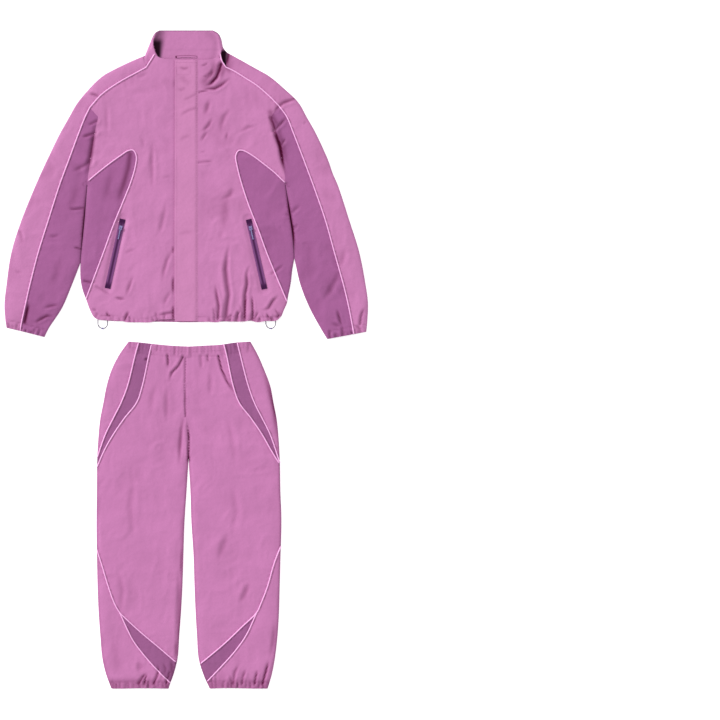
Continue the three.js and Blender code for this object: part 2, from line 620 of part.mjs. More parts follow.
const upperTopLeft = upperSheet(SLEEVE_LEFT).subtract(frontPipeCuts[0]);
const upperTopRight = upperSheet(SLEEVE_RIGHT).subtract(frontPipeCuts[1]);
add('jacket_yoke_and_upper_sleeves',
  underLayer.intersect(upperRegion).add(upperTopLeft).add(upperTopRight), 'light');
add('jacket_under_sleeve_left',
  underLayer.intersect(underRegionLeft).add(cutAll(underSheet(SLEEVE_LEFT), leftSeams)), 'dark');
add('jacket_under_sleeve_right',
  underLayer.intersect(underRegionRight).add(cutAll(underSheet(SLEEVE_RIGHT), rightSeams)), 'dark');

// Collar: the back lies flat with its inside up, and each end rolls over to the front piping
const COLLAR_TOP = 953;
const COLLAR_BASE = 872.4;
const COLLAR_PLAN = [[-107, COLLAR_BASE], [-119, 882.4], [-108, 911], [-97, 935], [-88, 947],
  [-76, COLLAR_TOP], [76, COLLAR_TOP], [92, 945], [101, 929], [107, 903], [119, 890.4], [107, COLLAR_BASE]];
const COLLAR_LEFT = [
  { outer: [-88, 947], inner: [-84, 945] },
  { outer: [-97, 935], inner: [-92, 932] },
  { outer: [-108, 911], inner: [-100, 909] },
  { outer: [-119, 882.4], inner: [-91, 886] },
  { outer: [-119.4, 878], inner: [-101, 870] },
  { outer: [-119, 870], inner: [-110, 857] },
];
const COLLAR_RIGHT = [
  { outer: [92, 945], inner: [88, 943] },
  { outer: [101, 929], inner: [96, 927] },
  { outer: [107, 903], inner: [99, 902] },
  { outer: [119, 890.4], inner: [99, 888] },
  { outer: [119.4, 883], inner: [105, 874] },
  { outer: [118, 872], inner: [110, 860] },
];
const COLLAR_COLUMNS = [0, 0.35, 1];
const COLLAR_STEEP = 2.5;
const YOKE_SIDE = 60;

// Everything on the yoke's side of the seam between collar and yoke, and the seam's gap
function yokeSide({ outer, pipe }, sign) {
  const shift = ([x, y], by) => [x - sign * by, y];
  return prism([shift(outer, SEAM), shift(pipe, SEAM), shift(pipe, -YOKE_SIDE), shift(outer, -YOKE_SIDE)]);
}

const yokeClear = [yokeSide(SLEEVE_LEFT[0], -1), yokeSide(SLEEVE_RIGHT[0], 1)];

function collarEnd(table) {
  const outer = column(table, 'outer');
  const inner = column(table, 'inner');
  const lift = (x, y) => roll(COLLAR_STEEP * distanceToLines(x, y, [outer]));
  const rise = (x, y) => EDGE_TOP + (FULL - EDGE_TOP) * lift(x, y);
  return sheet({ first: outer, second: inner, columns: COLLAR_COLUMNS, height: rise });
}

const overYoke = overBack.subtract(prism(COLLAR_PLAN));
const collarEnds = [collarEnd(COLLAR_LEFT), collarEnd(COLLAR_RIGHT)].map((end) => cutAll(end, [
  ...frontPipeCuts, ...yokeClear, overYoke]));
const collarBack = cutAll(plate(COLLAR_PLAN), yokeClear);
add('jacket_collar', collarBack.add(collarEnds[0]).add(collarEnds[1]), 'light');

// Storm flap, and the zip tape between the fronts under it
function strip({ left, right, bottom, top }, from, to) {
  return prism([[left, bottom], [right, bottom], [right, top], [left, top]], from, to);
}

const FRONT_ZIP = {
  left: SEAM - ZIP_HALF,
  right: ZIP_HALF - SEAM,
  bottom: FLAP.bottom + FLAP_MARGIN,
  top: FLAP.top - FLAP_MARGIN,
};
add('jacket_storm_flap', strip(FLAP, FULL + SEAM, FULL + SEAM + CLOTH), 'light');
add('jacket_front_zip', strip(FRONT_ZIP, FULL - CLOTH, FULL), 'tape');

// Jacket piping, each run trimmed to the cloth that it borders
const within = prism(outline);
const trim = (piece, cutters) => cutAll(piece.intersect(within), cutters);
const offBody = [...backPipeCuts, ...backArmCuts, underRegionLeft, underRegionRight];
const offFront = [...armholeCuts, ...slitCuts, overBack,
  prism([...ARMHOLE_LEFT, [-OUTSIDE, UNDERARM_Y], [-OUTSIDE, ARMHOLE_LEFT[0][1]]]),
  prism([...ARMHOLE_RIGHT, [OUTSIDE, UNDERARM_Y], [OUTSIDE, ARMHOLE_RIGHT[0][1]]])];
const PIPING_RUNS = [
  { place: 'sleeve_left', made: pipingOver(PIPE_LEFT, jacketTop) },
  { place: 'sleeve_right', made: pipingOver(PIPE_RIGHT, jacketTop) },
  { place: 'side_front_left', made: trim(pipingOver(wingLeft, jacketTop), offFront) },
  { place: 'side_front_right', made: trim(pipingOver(wingRight, jacketTop), offFront) },
  { place: 'sleeve_back_left', made: trim(pipingUnder(BACK_PIPE_LEFT), []) },
  { place: 'sleeve_back_right', made: trim(pipingUnder(BACK_PIPE_RIGHT), []) },
  { place: 'band_top', made: trim(pipingUnder(bandTop), offBody) },
  { place: 'band_low', made: trim(pipingUnder(bandLow), offBody) },
  { place: 'side_back_left', made: trim(pipingUnder(backSideLeft), offBody) },
  { place: 'side_back_right', made: trim(pipingUnder(backSideRight), offBody) },
];
for (const { place, made } of PIPING_RUNS) {
  add(`jacket_piping_${place}`, made, 'piping');
}

// Pocket zips: the tape is cloth in the front's plane, the slider and its tab stand on it
function highest(made, outline) {
  const mesh = made.intersect(prism(outline)).getMesh();
  let top = 0;
  for (let i = 2; i < mesh.vertProperties.length; i += mesh.numProp) {
    top = Math.max(top, mesh.vertProperties[i]);
  }
  return top;
}

// A piece in the zip's own frame: along the zip toward its top, across it, and up
function placeOnZip(geometry, pocket, level) {
  const [dx, dy] = [pocket.top[0] - pocket.bottom[0], pocket.top[1] - pocket.bottom[1]];
  const turn = new THREE.Matrix4().makeRotationZ(Math.atan2(dy, dx));
  const origin = mix(pocket.top, pocket.bottom, SLIDER.from_top / Math.hypot(dx, dy));
  turn.setPosition(origin[0], origin[1], level);
  return geometry.applyMatrix4(turn);
}

function block(along, across, up, at) {
  return new THREE.BoxGeometry(along, across, up).translate(...at);
}

function sliderSolid(pocket, level) {
  const aside = TAB.width / 2 + SEAM + SLIDER.wall / 2;
  const middle = SLIDER.base + SLIDER.rise / 2 - SLIDER.sink;
  const cheek = (sign) => block(SLIDER.cheek, SLIDER.wall, SLIDER.rise, [PIVOT.along, sign * aside, middle]);
  const base = block(SLIDER.length, SLIDER.width, SLIDER.base, [0, 0, SLIDER.base / 2]);
  const parts = [base, cheek(1), cheek(-1)].map((piece) => solid(placeOnZip(piece, pocket, level)));
  return parts[0].add(parts[1]).add(parts[2]);
}

function tabSolid(pocket, level) {
  const eye = new THREE.CylinderGeometry(TAB.eye, TAB.eye, TAB.width, ROUND_SIDES);
  eye.translate(PIVOT.along, 0, PIVOT.up);
  const leaf = block(TAB.length, TAB.width, TAB.thick, [-TAB.length / 2, 0, 0]).rotateY(-TAB.droop);
  leaf.translate(PIVOT.along, 0, PIVOT.up);
  return solid(placeOnZip(eye, pocket, level)).add(solid(placeOnZip(leaf, pocket, level)));
}

const POCKETS = [
  { side: 'left', pocket: POCKET_LEFT, cloth: leftFrontCut },
  { side: 'right', pocket: POCKET_RIGHT, cloth: rightFrontCut },
];
for (const { side, pocket, cloth } of POCKETS) {
  const tape = cloth.intersect(prism(zipOutline(pocket, TAPE_WIDTH, 0)));
  const level = highest(tape, zipOutline(pocket, SLIDER.width, 0)) + SEAM;
  add(`pocket_zip_tape_${side}`, tape, 'tape');
  add(`pocket_zip_slider_${side}`, sliderSolid(pocket, level), 'metal');
  add(`pocket_zip_pull_tab_${side}`, tabSolid(pocket, level), 'metal');
}

// Hanger loop across the neck, on the yoke just above the fronts' rim
const HANGER_STRIP = {
  left: -HANGER.half,
  right: HANGER.half,
  bottom: HANGER.y - HANGER.width / 2,
  top: HANGER.y + HANGER.width / 2,
};
add('jacket_hanger_loop', strip(HANGER_STRIP, CLOTH + SEAM, REST), 'light');

// Cord loops that stand out of the hem, each through a crimp at its lowest point
class LoopCurve extends THREE.Curve {
  constructor({ centre, half, drop, rise }, level) {
    super();
    this.spec = { centre, half, drop, rise, level };
  }

  getPoint(t, target = new THREE.Vector3()) {
    const { centre, half, drop, rise, level } = this.spec;
    const arc = Math.PI * half;
    const total = 2 * rise + arc;
    const s = t * total;
    const low = centre[1] - drop + half;
    if (s < rise) return target.set(centre[0] - half, low + rise - s, level);
    if (s > rise + arc) return target.set(centre[0] + half, low + s - rise - arc, level);
    const angle = Math.PI + (s - rise) / half;
    return target.set(centre[0] + half * Math.cos(angle), low + half * Math.sin(angle), level);
  }
}

function cordSolid(loop) {
  const ring = new THREE.Shape();
  for (let i = 0; i < CORD_SIDES; i += 1) {
    const angle = (2 * Math.PI * i) / CORD_SIDES;
    const point = [(CORD / 2) * Math.cos(angle), (CORD / 2) * Math.sin(angle)];
    if (i === 0) ring.moveTo(...point);
    else ring.lineTo(...point);
  }
  const extrudePath = new LoopCurve(loop, CORD_LEVEL);
  return solid(new THREE.ExtrudeGeometry(ring, { steps: CORD_STEPS, extrudePath, bevelEnabled: false }));
}

function crimpSolid(loop) {
  const inner = CORD / 2 + CRIMP.play;
  const outer = inner + CRIMP.wall;
  const half = CRIMP.length / 2;
  const profile = [[inner, -half], [outer, -half], [outer, half], [inner, half], [inner, -half]];
  const ring = new THREE.LatheGeometry(profile.map(([x, y]) => new THREE.Vector2(x, y)), ROUND_SIDES);
  ring.rotateZ(Math.PI / 2);
  ring.translate(loop.centre[0], loop.centre[1] - loop.drop, CORD_LEVEL);
  return solid(ring);
}

for (const [side, loop] of [['left', LOOP_LEFT], ['right', LOOP_RIGHT]]) {
  add(`hem_loop_${side}`, cordSolid(loop), 'cord');
  add(`hem_loop_crimp_${side}`, crimpSolid(loop), 'metal');
}

// Trousers: the under layer is one flat back a leg, the top layer is parted along its piping
const LEG_COLUMNS = [0, 0.035, 0.12, 0.23, 0.34, 0.45, 0.56, 0.67, 0.78, 0.89, 0.97, 1];
const CENTRE = column(LEG_LEFT, 'in').slice(0, CROTCH_ROW + 1);
const CENTRE_PAST = { waist: 20, crotch: 5 };
const centreUp = extend([...CENTRE].reverse(), CENTRE_PAST.waist);
const centreCut = ribbon(extend([...centreUp].reverse(), CENTRE_PAST.crotch), SEAM);

function legSolids(table) {
  const out = column(table, 'out');
  const inner = column(table, 'in');
  const top = sheet({
    first: out, second: inner, columns: LEG_COLUMNS, height: trouserTop, floor: REST,
    atStart: everywhere, atEnd: everywhere,
  });
  const plan = [...out, ...inner.reverse()];
  const under = plate(plan);
  const onLeg = prism(plan);
  return [top, under, onLeg].map((made) => made.subtract(centreCut));
}

const LEGS = [
  {
    side: 'left',
    table: LEG_LEFT,
    seams: { out: STRIPE_OUT_LEFT, in: STRIPE_IN_LEFT, calf: CALF_LEFT, shin: SHIN_LEFT },
    far: -FAR,
  },
  {
    side: 'right',
    table: LEG_RIGHT,
    seams: { out: STRIPE_OUT_RIGHT, in: STRIPE_IN_RIGHT, calf: CALF_RIGHT, shin: SHIN_RIGHT },
    far: FAR,
  },
];
for (const leg of LEGS) {
  const [top, under, onLeg] = legSolids(leg.table);
  const lines = Object.fromEntries(Object.entries(leg.seams).map(([place, line]) => [place, smooth(line)]));
  const cut = cutAll(top, Object.values(lines).map((line) => ribbon(line, SLOT)));
  const beyond = (line) => prism([...line, [leg.far, line.at(-1)[1]], [leg.far, line[0][1]]]);
  const hip = beyond(lines.out);
  const stripeAndHip = beyond(lines.in);
  const beneath = (edge) => prism([
    ...edge, [edge.at(-1)[0], -FAR], [leg.far, -FAR], [leg.far, lines.calf[0][1]],
  ]);
  const belowCalf = beneath(lines.calf);
  const belowShin = beneath([...lines.calf.filter(([, y]) => y > lines.shin[0][1]), ...lines.shin]);
  add(`trousers_front_${leg.side}`, cutAll(cut, [stripeAndHip, belowCalf]), 'light');
  add(`trousers_hip_${leg.side}`, cut.intersect(hip), 'light');
  add(`trousers_stripe_${leg.side}`, cut.intersect(stripeAndHip).subtract(hip), 'dark');
  add(`trousers_wedge_${leg.side}`, cut.intersect(belowCalf).subtract(belowShin), 'dark');
  add(`trousers_lower_${leg.side}`, cut.intersect(belowShin), 'light');
  add(`trousers_back_${leg.side}`, under, 'light');
  const yields = { out: [ribbon(lines.in, SLOT)], in: [], calf: [], shin: [ribbon(lines.calf, SLOT)] };
  for (const [place, line] of Object.entries(lines)) {
    const run = pipingOver(line, trouserTop).intersect(onLeg);
    add(`trousers_piping_${place}_${leg.side}`, cutAll(run, yields[place]), 'piping');
  }
}

export default suit;
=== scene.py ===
import math

import bpy
import numpy as np
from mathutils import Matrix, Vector
from mathutils.geometry import delaunay_2d_cdt


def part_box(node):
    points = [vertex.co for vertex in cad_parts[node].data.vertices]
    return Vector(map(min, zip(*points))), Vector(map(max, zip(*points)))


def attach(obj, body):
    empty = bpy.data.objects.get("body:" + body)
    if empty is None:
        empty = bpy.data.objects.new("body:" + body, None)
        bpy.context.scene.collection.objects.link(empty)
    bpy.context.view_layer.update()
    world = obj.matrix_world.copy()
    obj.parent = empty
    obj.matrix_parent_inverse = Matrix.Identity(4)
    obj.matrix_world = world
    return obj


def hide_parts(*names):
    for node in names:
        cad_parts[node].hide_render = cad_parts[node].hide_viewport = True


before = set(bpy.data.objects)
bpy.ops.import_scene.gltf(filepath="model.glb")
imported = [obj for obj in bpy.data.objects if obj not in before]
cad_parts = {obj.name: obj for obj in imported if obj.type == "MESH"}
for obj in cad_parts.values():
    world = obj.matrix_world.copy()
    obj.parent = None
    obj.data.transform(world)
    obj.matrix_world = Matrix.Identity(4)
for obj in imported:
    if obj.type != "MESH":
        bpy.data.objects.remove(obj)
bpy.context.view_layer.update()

# Plan measures are in millimetres, in the CAD frame. Creases are placed by the photograph's pixels.
MM = 0.001
PIXEL = 2.9
PHOTO_WIDTH = 720
PHOTO_MIDDLE = 359.5
PHOTO_ORIGIN = (185.75, 359.3)
BACK_ORIGIN = (535.5, 522.3)
TINY = 1e-9
SAME_POINT = 0.05           # points nearer than this are one
WELD = 0.02                 # the same, where sheets are joined

TOP_PITCH = 4.6
UNDER_PITCH = 6.5
COLLAR_PITCH = 3.0
FLAP_PITCH = 4.0
ROW_SHARE = 0.866           # distance of the rows in a grid of even triangles
FOLD_RINGS = (1.1, 2.8)     # extra rows of points beside a fold
LINE_STEP = 4.5
WALL = 0.9
FOLD_Z = 2.0
FOLD_RADIUS = 2.6
EDGE_RISE = 1.6
CROWN = 7.0
RELIEF = 2.0
CROWN_REACH = 34
UNDER_Z = 0.5
LOWEST_TOP = 2.9
HIGHEST_TOP = 12.0
HEM_DEPTH = 13
CUFF_DEPTH = 22
WAIST_DEPTH = 31
WAIST_MIDDLE = 16
ANKLE_DEPTH = 20
FLAP = {"left": -32, "right": 34, "top": 869, "bottom": 112, "gap": 0.4, "thick": 1.1}
ZIP_EDGE = 8
PIPE_RADIUS = 1.9
PIPE_RISE = 0.6
UNDER_PIPE_RADIUS = 1.6
LENS = 120
SENSOR = 36
FLOOR = 40

JACKET_LEFT = {
    "outer": [(-120, 882), (-160, 865), (-202, 845), (-243, 822), (-280, 787), (-318, 741), (-339, 704), (-366, 656),
              (-404, 578), (-419, 546), (-437, 505), (-478, 404), (-507, 311), (-521, 218), (-527, 160), (-524, 112),
              (-521, 93)],
    "pipe": [(-91, 886), (-103, 867), (-116, 847), (-138, 835), (-170, 818), (-205, 797), (-243, 770), (-279, 731),
             (-292, 704), (-311, 656), (-340, 578), (-352, 546), (-367, 505), (-399, 404), (-428, 311), (-452, 218),
             (-466, 157), (-477, 108), (-481, 84)],
    "back": [(-300, 706), (-322, 660), (-345, 578), (-353, 546), (-363, 505), (-391, 404), (-418, 311), (-441, 218),
             (-456, 157), (-468, 104), (-474, 82)],
    "armhole": [(-279, 731), (-255, 704), (-265, 656), (-278, 578), (-282, 546), (-287, 505)],
    "shared": [(-287, 505), (-295.5, 404), (-304.5, 311), (-306.5, 281)],
    "inner": [(-306.5, 281), (-331, 218), (-360, 150), (-398, 92), (-411, 66)],
    "side": [(-306.5, 281), (-307, 242), (-304, 218), (-298, 195), (-289, 172), (-281, 149), (-271, 128)],
    "rim": [(-91, 886), (-85, 880), (-76, 875), (-66, 872.5), (-45, 871), (-8, 870)],
    "hem": [(-271, 128), (-259, 118), (-233, 115), (-214, 114), (-189, 112.5), (-170, 109), (-135, 108.5),
            (-100, 109), (-84, 115.5), (-58, 117), (-34, 117.5), (-8, 113)],
    "wing": [(-296, 508), (-278, 523), (-238, 556), (-189, 592), (-167, 606), (-153, 607), (-144, 590),
             (-147, 559), (-160, 514), (-182, 459), (-211, 388), (-236, 319), (-287, 184), (-303, 142)],
    "back_side": [(-303, 579), (-256, 584), (-222, 548), (-208, 480), (-207, 380), (-212, 260), (-227, 113.5)],
    "back_arm": [(-300, 706), (-298, 638), (-303, 579), (-295, 540), (-287, 505)],
}
JACKET_RIGHT = {
    "outer": [(120, 890), (160, 868), (201, 845), (241, 822), (283, 787), (326, 745), (349, 704), (374, 660),
              (411, 580), (425, 540), (440, 505), (473, 404), (502, 311), (520, 218), (527, 165), (525, 110),
              (522, 81)],
    "pipe": [(99, 888), (103, 868), (115, 848), (140, 836), (172, 816), (205, 795), (240, 765), (268, 737),
             (292, 704), (310, 660), (341, 580), (356, 540), (369, 505), (404, 404), (430, 311), (456, 218),
             (470, 160), (481, 104), (486, 75)],
    "back": [(302, 706), (325, 662), (347, 580), (358, 540), (367, 505), (396, 404), (420, 311), (445, 218),
             (459, 160), (472, 100), (479, 73)],
    "armhole": [(268, 737), (246, 704), (259, 660), (278, 580), (285, 540), (288, 505)],
    "shared": [(288, 505), (301.5, 421), (308.5, 366), (312.5, 320), (313.5, 294)],
    "inner": [(313.5, 294), (331, 218), (358, 150), (396, 81), (409, 60)],
    "side": [(313.5, 294), (307.5, 260), (305, 236), (301, 210), (296, 187), (291.5, 163), (284, 146), (277, 128)],
    "rim": [(8, 870), (34, 869.5), (62, 870.5), (84, 875), (99, 888)],
    "hem": [(8, 112), (34, 111), (65, 110), (92, 109), (104, 113), (118, 111), (145, 110.5), (170, 111),
            (184, 114.5), (206, 109), (233, 112.5), (262, 114), (277, 128)],
    "wing": [(297, 505), (283, 517), (256, 543), (227, 566), (195, 590), (166, 606), (152, 606), (144, 590),
             (148, 561), (160, 514), (181, 450), (208, 381), (235, 307), (289, 177), (304, 140)],
    "back_side": [(305, 577), (257, 586), (218, 548), (204, 480), (202, 380), (207, 260), (219, 114)],
    "back_arm": [(302, 706), (302, 640), (305, 577), (296, 540), (288, 505)],
}
NECK = 2          # place in "pipe" where the yoke starts
SHOULDER = 7      # place in "pipe" where the armhole starts
NECK_BASE = [(120, 890), (107, 872.4), (-107, 872.4), (-120, 882)]
HEM_BACK = [(-271, 128), (-259, 118), (-227, 113.5), (-150, 111), (-60, 110), (0, 109), (60, 110), (150, 112),
            (219, 114), (262, 116), (277, 128)]
BAND_TOP = [(-300, 706), (-210, 752), (-105, 781), (0, 789), (105, 781), (210, 752), (302, 706)]
BAND_LOW = [(-298, 638), (-210, 682), (-105, 709), (0, 717), (105, 709), (210, 682), (302, 640)]
COLLAR_RIM_LEFT = [(-83, 954.5), (-92, 941), (-96.7, 927), (-95.5, 908), (-91, 893), (-85, 880), (-70, 870),
                   (-60, 862)]
COLLAR_RIM_RIGHT = [(79, 954.5), (92, 943), (98, 930), (101.5, 908), (99, 888), (94, 872), (88, 862)]
COLLAR_TOP = 955
COLLAR_INSIDE_Z = 2.0
COLLAR_EDGE_Z = 1.6

POCKETS = {
    "left": {"top": (-184, 408), "bottom": (-228, 207)},
    "right": {"top": (181, 407), "bottom": (227, 205)},
}
TAPE_WIDTH = 16.4
TAPE_WALL = 0.8
TOOTH = {"pitch": 2.1, "length": 4.2, "width": 1.3, "height": 0.8}
ZIP_LINES = [np.array([p["bottom"], p["top"]], float) for p in POCKETS.values()]
ZIP_FLOOR = 4.1
STITCH = {"pitch": 4.2, "length": 2.8, "raised": 0.12}
LOOPS = {"left": (-242, 107), "right": (245, 107)}
LOOP = {"half": 14, "drop": 16, "rise": 12, "cord": 2.4, "level": 2.7}
CRIMP_TURNS = 20
CRIMP_PROFILE = [(1.62, -2.5), (2.35, -2.5), (2.62, -2.1), (2.62, -0.7), (2.3, -0.45), (2.3, 0.45), (2.62, 0.7),
                 (2.62, 2.1), (2.35, 2.5), (1.62, 2.5)]     # radius and place along the hem
HANGER = {"y": 878.2, "z": 3.2, "half": 31, "width": 6, "wall": 1.0}

LEG_LEFT = {
    "out": [(-167, 53), (-194, 15), (-217, -31), (-231, -77), (-240, -124), (-249, -170), (-254, -217), (-258, -285),
            (-259, -379), (-260, -472), (-259, -565), (-257, -657), (-254, -730), (-249, -800), (-243, -866),
            (-232, -913), (-222, -940), (-217, -953)],
    "in": [(7, -285), (1, -379), (-5, -472), (-8, -565), (-11, -657), (-15, -730), (-20, -797), (-25, -866),
           (-37, -913), (-47, -940), (-51, -953)],
    "waist": [(7, 38.5), (-40, 40.8), (-90, 45.4), (-130, 49.8), (-167, 53)],
    "ankle": [(-217, -953), (-180, -952.6), (-133, -951.8), (-90, -952), (-51, -953)],
    "stripe_out": [(-132, 70), (-147, 15), (-170, -77), (-188, -124), (-211, -170), (-234, -217), (-270, -322)],
    "stripe_in": [(-94, 70), (-107, 15), (-127, -77), (-143, -124), (-179, -170), (-211, -217), (-237, -263),
                  (-272, -345)],
    "calf": [(-270, -515), (-246, -588), (-225, -657), (-208, -704), (-192, -732), (-170, -754), (-128, -792),
             (-78, -834), (-10, -893)],
    "shin": [(-192, -732), (-181, -757), (-167, -787), (-153, -814), (-123, -854), (-85, -897), (-20, -961)],
}
LEG_RIGHT = {
    "out": [(186, 53), (207, 15), (227, -31), (244, -77), (253, -124), (262, -170), (267, -217), (271, -285),
            (273, -379), (276, -466), (273, -582), (271, -657), (269, -730), (265, -797), (257, -866), (248, -913),
            (241, -937), (236, -953)],
    "in": [(7, -285), (12, -379), (15, -472), (21, -565), (24, -657), (27, -730), (31, -797), (36, -866),
           (50, -913), (62, -940), (68, -953)],
    "waist": [(7, 38.5), (55, 41.2), (100, 43.8), (140, 49.6), (186, 53)],
    "ankle": [(236, -953), (190, -952.4), (130, -951.2), (100, -951.6), (68, -953)],
    "stripe_out": [(144, 70), (157, 15), (181, -77), (198, -124), (221, -170), (244, -217), (286, -345)],
    "stripe_in": [(103, 70), (117, 15), (137, -77), (154, -124), (189, -170), (221, -217), (247, -263), (289, -330)],
    "calf": [(286, -512), (256, -588), (236, -657), (218, -704), (205, -732), (163, -773), (114, -820), (22, -897)],
    "shin": [(205, -732), (175, -797), (143, -843), (102, -889), (34, -960)],
}
CENTRE = [(7, 38.5), (5, 5), (2, -40), (-1, -82), (-3, -126), (-1, -170), (3, -217), (7, -285)]
LEG_FAR = 1100     # past the legs' edges


# ---- Lines and regions in plan

def lengths(line):
    """How far along a line each of its points is."""
    return np.concatenate([[0], np.cumsum(np.linalg.norm(np.diff(line, axis=0), axis=1))])


def places(line, at):
    """Points of a line at given lengths along it."""
    along = lengths(line)
    return np.stack([np.interp(at, along, line[:, k]) for k in range(2)], axis=1)


def blend(t, start, end, a, b):
    """a at t = start to b at t = end."""
    return (end - t) / (end - start) * a + (t - start) / (end - start) * b


def smooth(points, step=LINE_STEP):
    """A smooth line through its points, with points about step apart."""
    p = np.array(points, float)
    if len(p) < 3:
        length = np.linalg.norm(p[-1] - p[0])
        t = np.linspace(0, 1, max(2, int(math.ceil(length / step)) + 1))[:, None]
        return p[0] + (p[-1] - p[0]) * t
    full = np.vstack([2 * p[0] - p[1], p, 2 * p[-1] - p[-2]])
    out = []
    for i in range(1, len(full) - 2):
        a, b, c, d = full[i - 1:i + 3]
        ta = 0.0
        tb = ta + max(np.linalg.norm(b - a), 1e-6) ** 0.5
        tc = tb + max(np.linalg.norm(c - b), 1e-6) ** 0.5
        td = tc + max(np.linalg.norm(d - c), 1e-6) ** 0.5
        t = np.linspace(tb, tc, 13)[:-1, None]
        bc = blend(t, tb, tc, b, c)
        first = blend(t, ta, tc, blend(t, ta, tb, a, b), bc)
        last = blend(t, tb, td, bc, blend(t, tc, td, c, d))
        out.append(blend(t, tb, tc, first, last))
    out.append(p[-1:])
    fine = np.vstack(out)
    end = lengths(fine)[-1]
    return places(fine, np.linspace(0, end, max(3, int(round(end / step)) + 1)))


def smooth_parts(points, *corners):
    """A smooth line with sharp corners at some of its points."""
    cuts = (0, *corners, len(points) - 1)
    parts = [smooth(points[a:b + 1]) for a, b in zip(cuts[:-1], cuts[1:])]
    return np.vstack([parts[0], *(part[1:] for part in parts[1:])])


def joined(*lines):
    """One closed outline from lines that follow on from each other."""
    points = [np.array(lines[0][0], float)]
    for line in lines:
        for p in np.array(line, float):
            if np.linalg.norm(p - points[-1]) > SAME_POINT:
                points.append(p)
    if np.linalg.norm(points[0] - points[-1]) < SAME_POINT:
        points.pop()
    return np.array(points)


def closed(outline):
    """An outline as a line that ends where it starts."""
    return np.vstack([outline, outline[:1]])


def cut_at(line, point):
    """Both parts of a line that goes through a point."""
    i = int(np.linalg.norm(line - np.array(point, float), axis=1).argmin())
    return line[:i + 1], line[i:]


def beside(line, off):
    """A line that runs beside another, on its left where off is above 0."""
    line = np.array(line, float)
    tangent = np.gradient(line, axis=0)
    normal = tangent[:, ::-1] * (-1, 1)
    normal /= np.maximum(np.linalg.norm(normal, axis=1, keepdims=True), TINY)
    return line + normal * off


def inside(points, outline):
    """Which points are inside a closed outline."""
    x, y = points[:, 0], points[:, 1]
    odd = np.zeros(len(points), bool)
    for (ax, ay), (bx, by) in zip(outline, np.roll(outline, -1, axis=0)):
        if ay == by:
            continue
        crosses = (ay > y) != (by > y)
        odd ^= crosses & (x < (bx - ax) * (y - ay) / (by - ay) + ax)
    return odd


def line_distance(points, line, reach=None):
    """Distance to a line, the share of its length at the nearest place, and the side (left is above 0)."""
    line = np.array(line, float)
    best = np.full(len(points), 1e9)
    share = np.zeros(len(points))
    side = np.zeros(len(points))
    along = lengths(line)
    for i in range(len(line) - 1):
        a, d = line[i], line[i + 1] - line[i]
        near = np.ones(len(points), bool)
        if reach is not None:
            low, high = np.minimum(a, a + d) - reach, np.maximum(a, a + d) + reach
            near = ((points > low) & (points < high)).all(axis=1)
            if not near.any():
                continue
        p = points[near] - a
        t = np.clip(p @ d / max(d @ d, TINY), 0, 1)
        off = p - t[:, None] * d
        dist = np.linalg.norm(off, axis=1)
        closer = dist < best[near]
        where = np.flatnonzero(near)[closer]
        best[where] = dist[closer]
        share[where] = (along[i] + t[closer] * np.linalg.norm(d)) / along[-1]
        side[where] = np.sign(d[0] * off[closer, 1] - d[1] * off[closer, 0])
    return best, share, side


def lines_distance(points, lines, reach):
    """Distance to the nearest of some lines, and no more than reach."""
    best = np.full(len(points), float(reach))
    for line in lines:
        best = np.minimum(best, line_distance(points, line, reach)[0])
    return best


def triangles_of(outline, pitch, lines=(), folds=()):
    """Constrained triangles of a region: its points, and three indices each. Points crowd beside its folds."""
    points = [tuple(p) for p in outline]
    edges = [(i, (i + 1) % len(outline)) for i in range(len(outline))]
    for line in lines:
        start = len(points)
        points += [tuple(p) for p in line]
        edges += [(start + i, start + i + 1) for i in range(len(line) - 1)]
    walls = [closed(outline), *lines]
    rings = [np.zeros((0, 2))]
    for fold in folds:
        for off in FOLD_RINGS:
            for sign in (1, -1):
                ring = beside(fold, off * sign)
                rings.append(ring[inside(ring, outline)])
    ring = np.vstack(rings)
    ring = ring[lines_distance(ring, walls, 6) > 0.95]
    low, high = outline.min(0), outline.max(0)
    xs = np.arange(low[0], high[0], pitch)
    ys = np.arange(low[1], high[1], pitch * ROW_SHARE)
    grid = np.array([(x + (pitch / 2 if j % 2 else 0), y) for j, y in enumerate(ys) for x in xs])
    grid = grid[inside(grid, outline)]
    grid = grid[lines_distance(grid, walls, 9) > pitch * 0.52]
    if folds:
        grid = grid[lines_distance(grid, folds, 9) > FOLD_RINGS[-1] + pitch * 0.45]
    flat = points + [tuple(p) for p in ring] + [tuple(p) for p in grid]
    made = delaunay_2d_cdt([Vector(p) for p in flat], edges, [], 0, 1e-3)
    co = np.array([tuple(v) for v in made[0]])
    tris = np.array([f for f in made[2] if len(f) == 3])
    tris = tris[inside(co[tris].mean(axis=1), outline)]
    a, b, c = (co[tris[:, i]] for i in range(3))
    cross = (b[:, 0] - a[:, 0]) * (c[:, 1] - a[:, 1]) - (b[:, 1] - a[:, 1]) * (c[:, 0] - a[:, 0])
    tris[cross < 0] = tris[cross < 0][:, ::-1]
    return co, tris[np.abs(cross) > 1e-4]


# ---- Relief of the cloth

class Ripple:
    """Smooth seeded noise over the plan."""

    def __init__(self, seed, cell):
        self.values = np.random.default_rng(seed).uniform(-1, 1, (257, 257))
        self.cell = cell

    def __call__(self, points):
        p = points / self.cell + 1000.0
        i = np.floor(p).astype(int)
        f = p - i
        f = f * f * f * (f * (f * 6 - 15) + 10)
        ix, iy = i[:, 0] % 256, i[:, 1] % 256
        v = self.values
        low = v[ix, iy] * (1 - f[:, 0]) + v[ix + 1, iy] * f[:, 0]
        high = v[ix, iy + 1] * (1 - f[:, 0]) + v[ix + 1, iy + 1] * f[:, 0]
        return low * (1 - f[:, 1]) + high * f[:, 1]


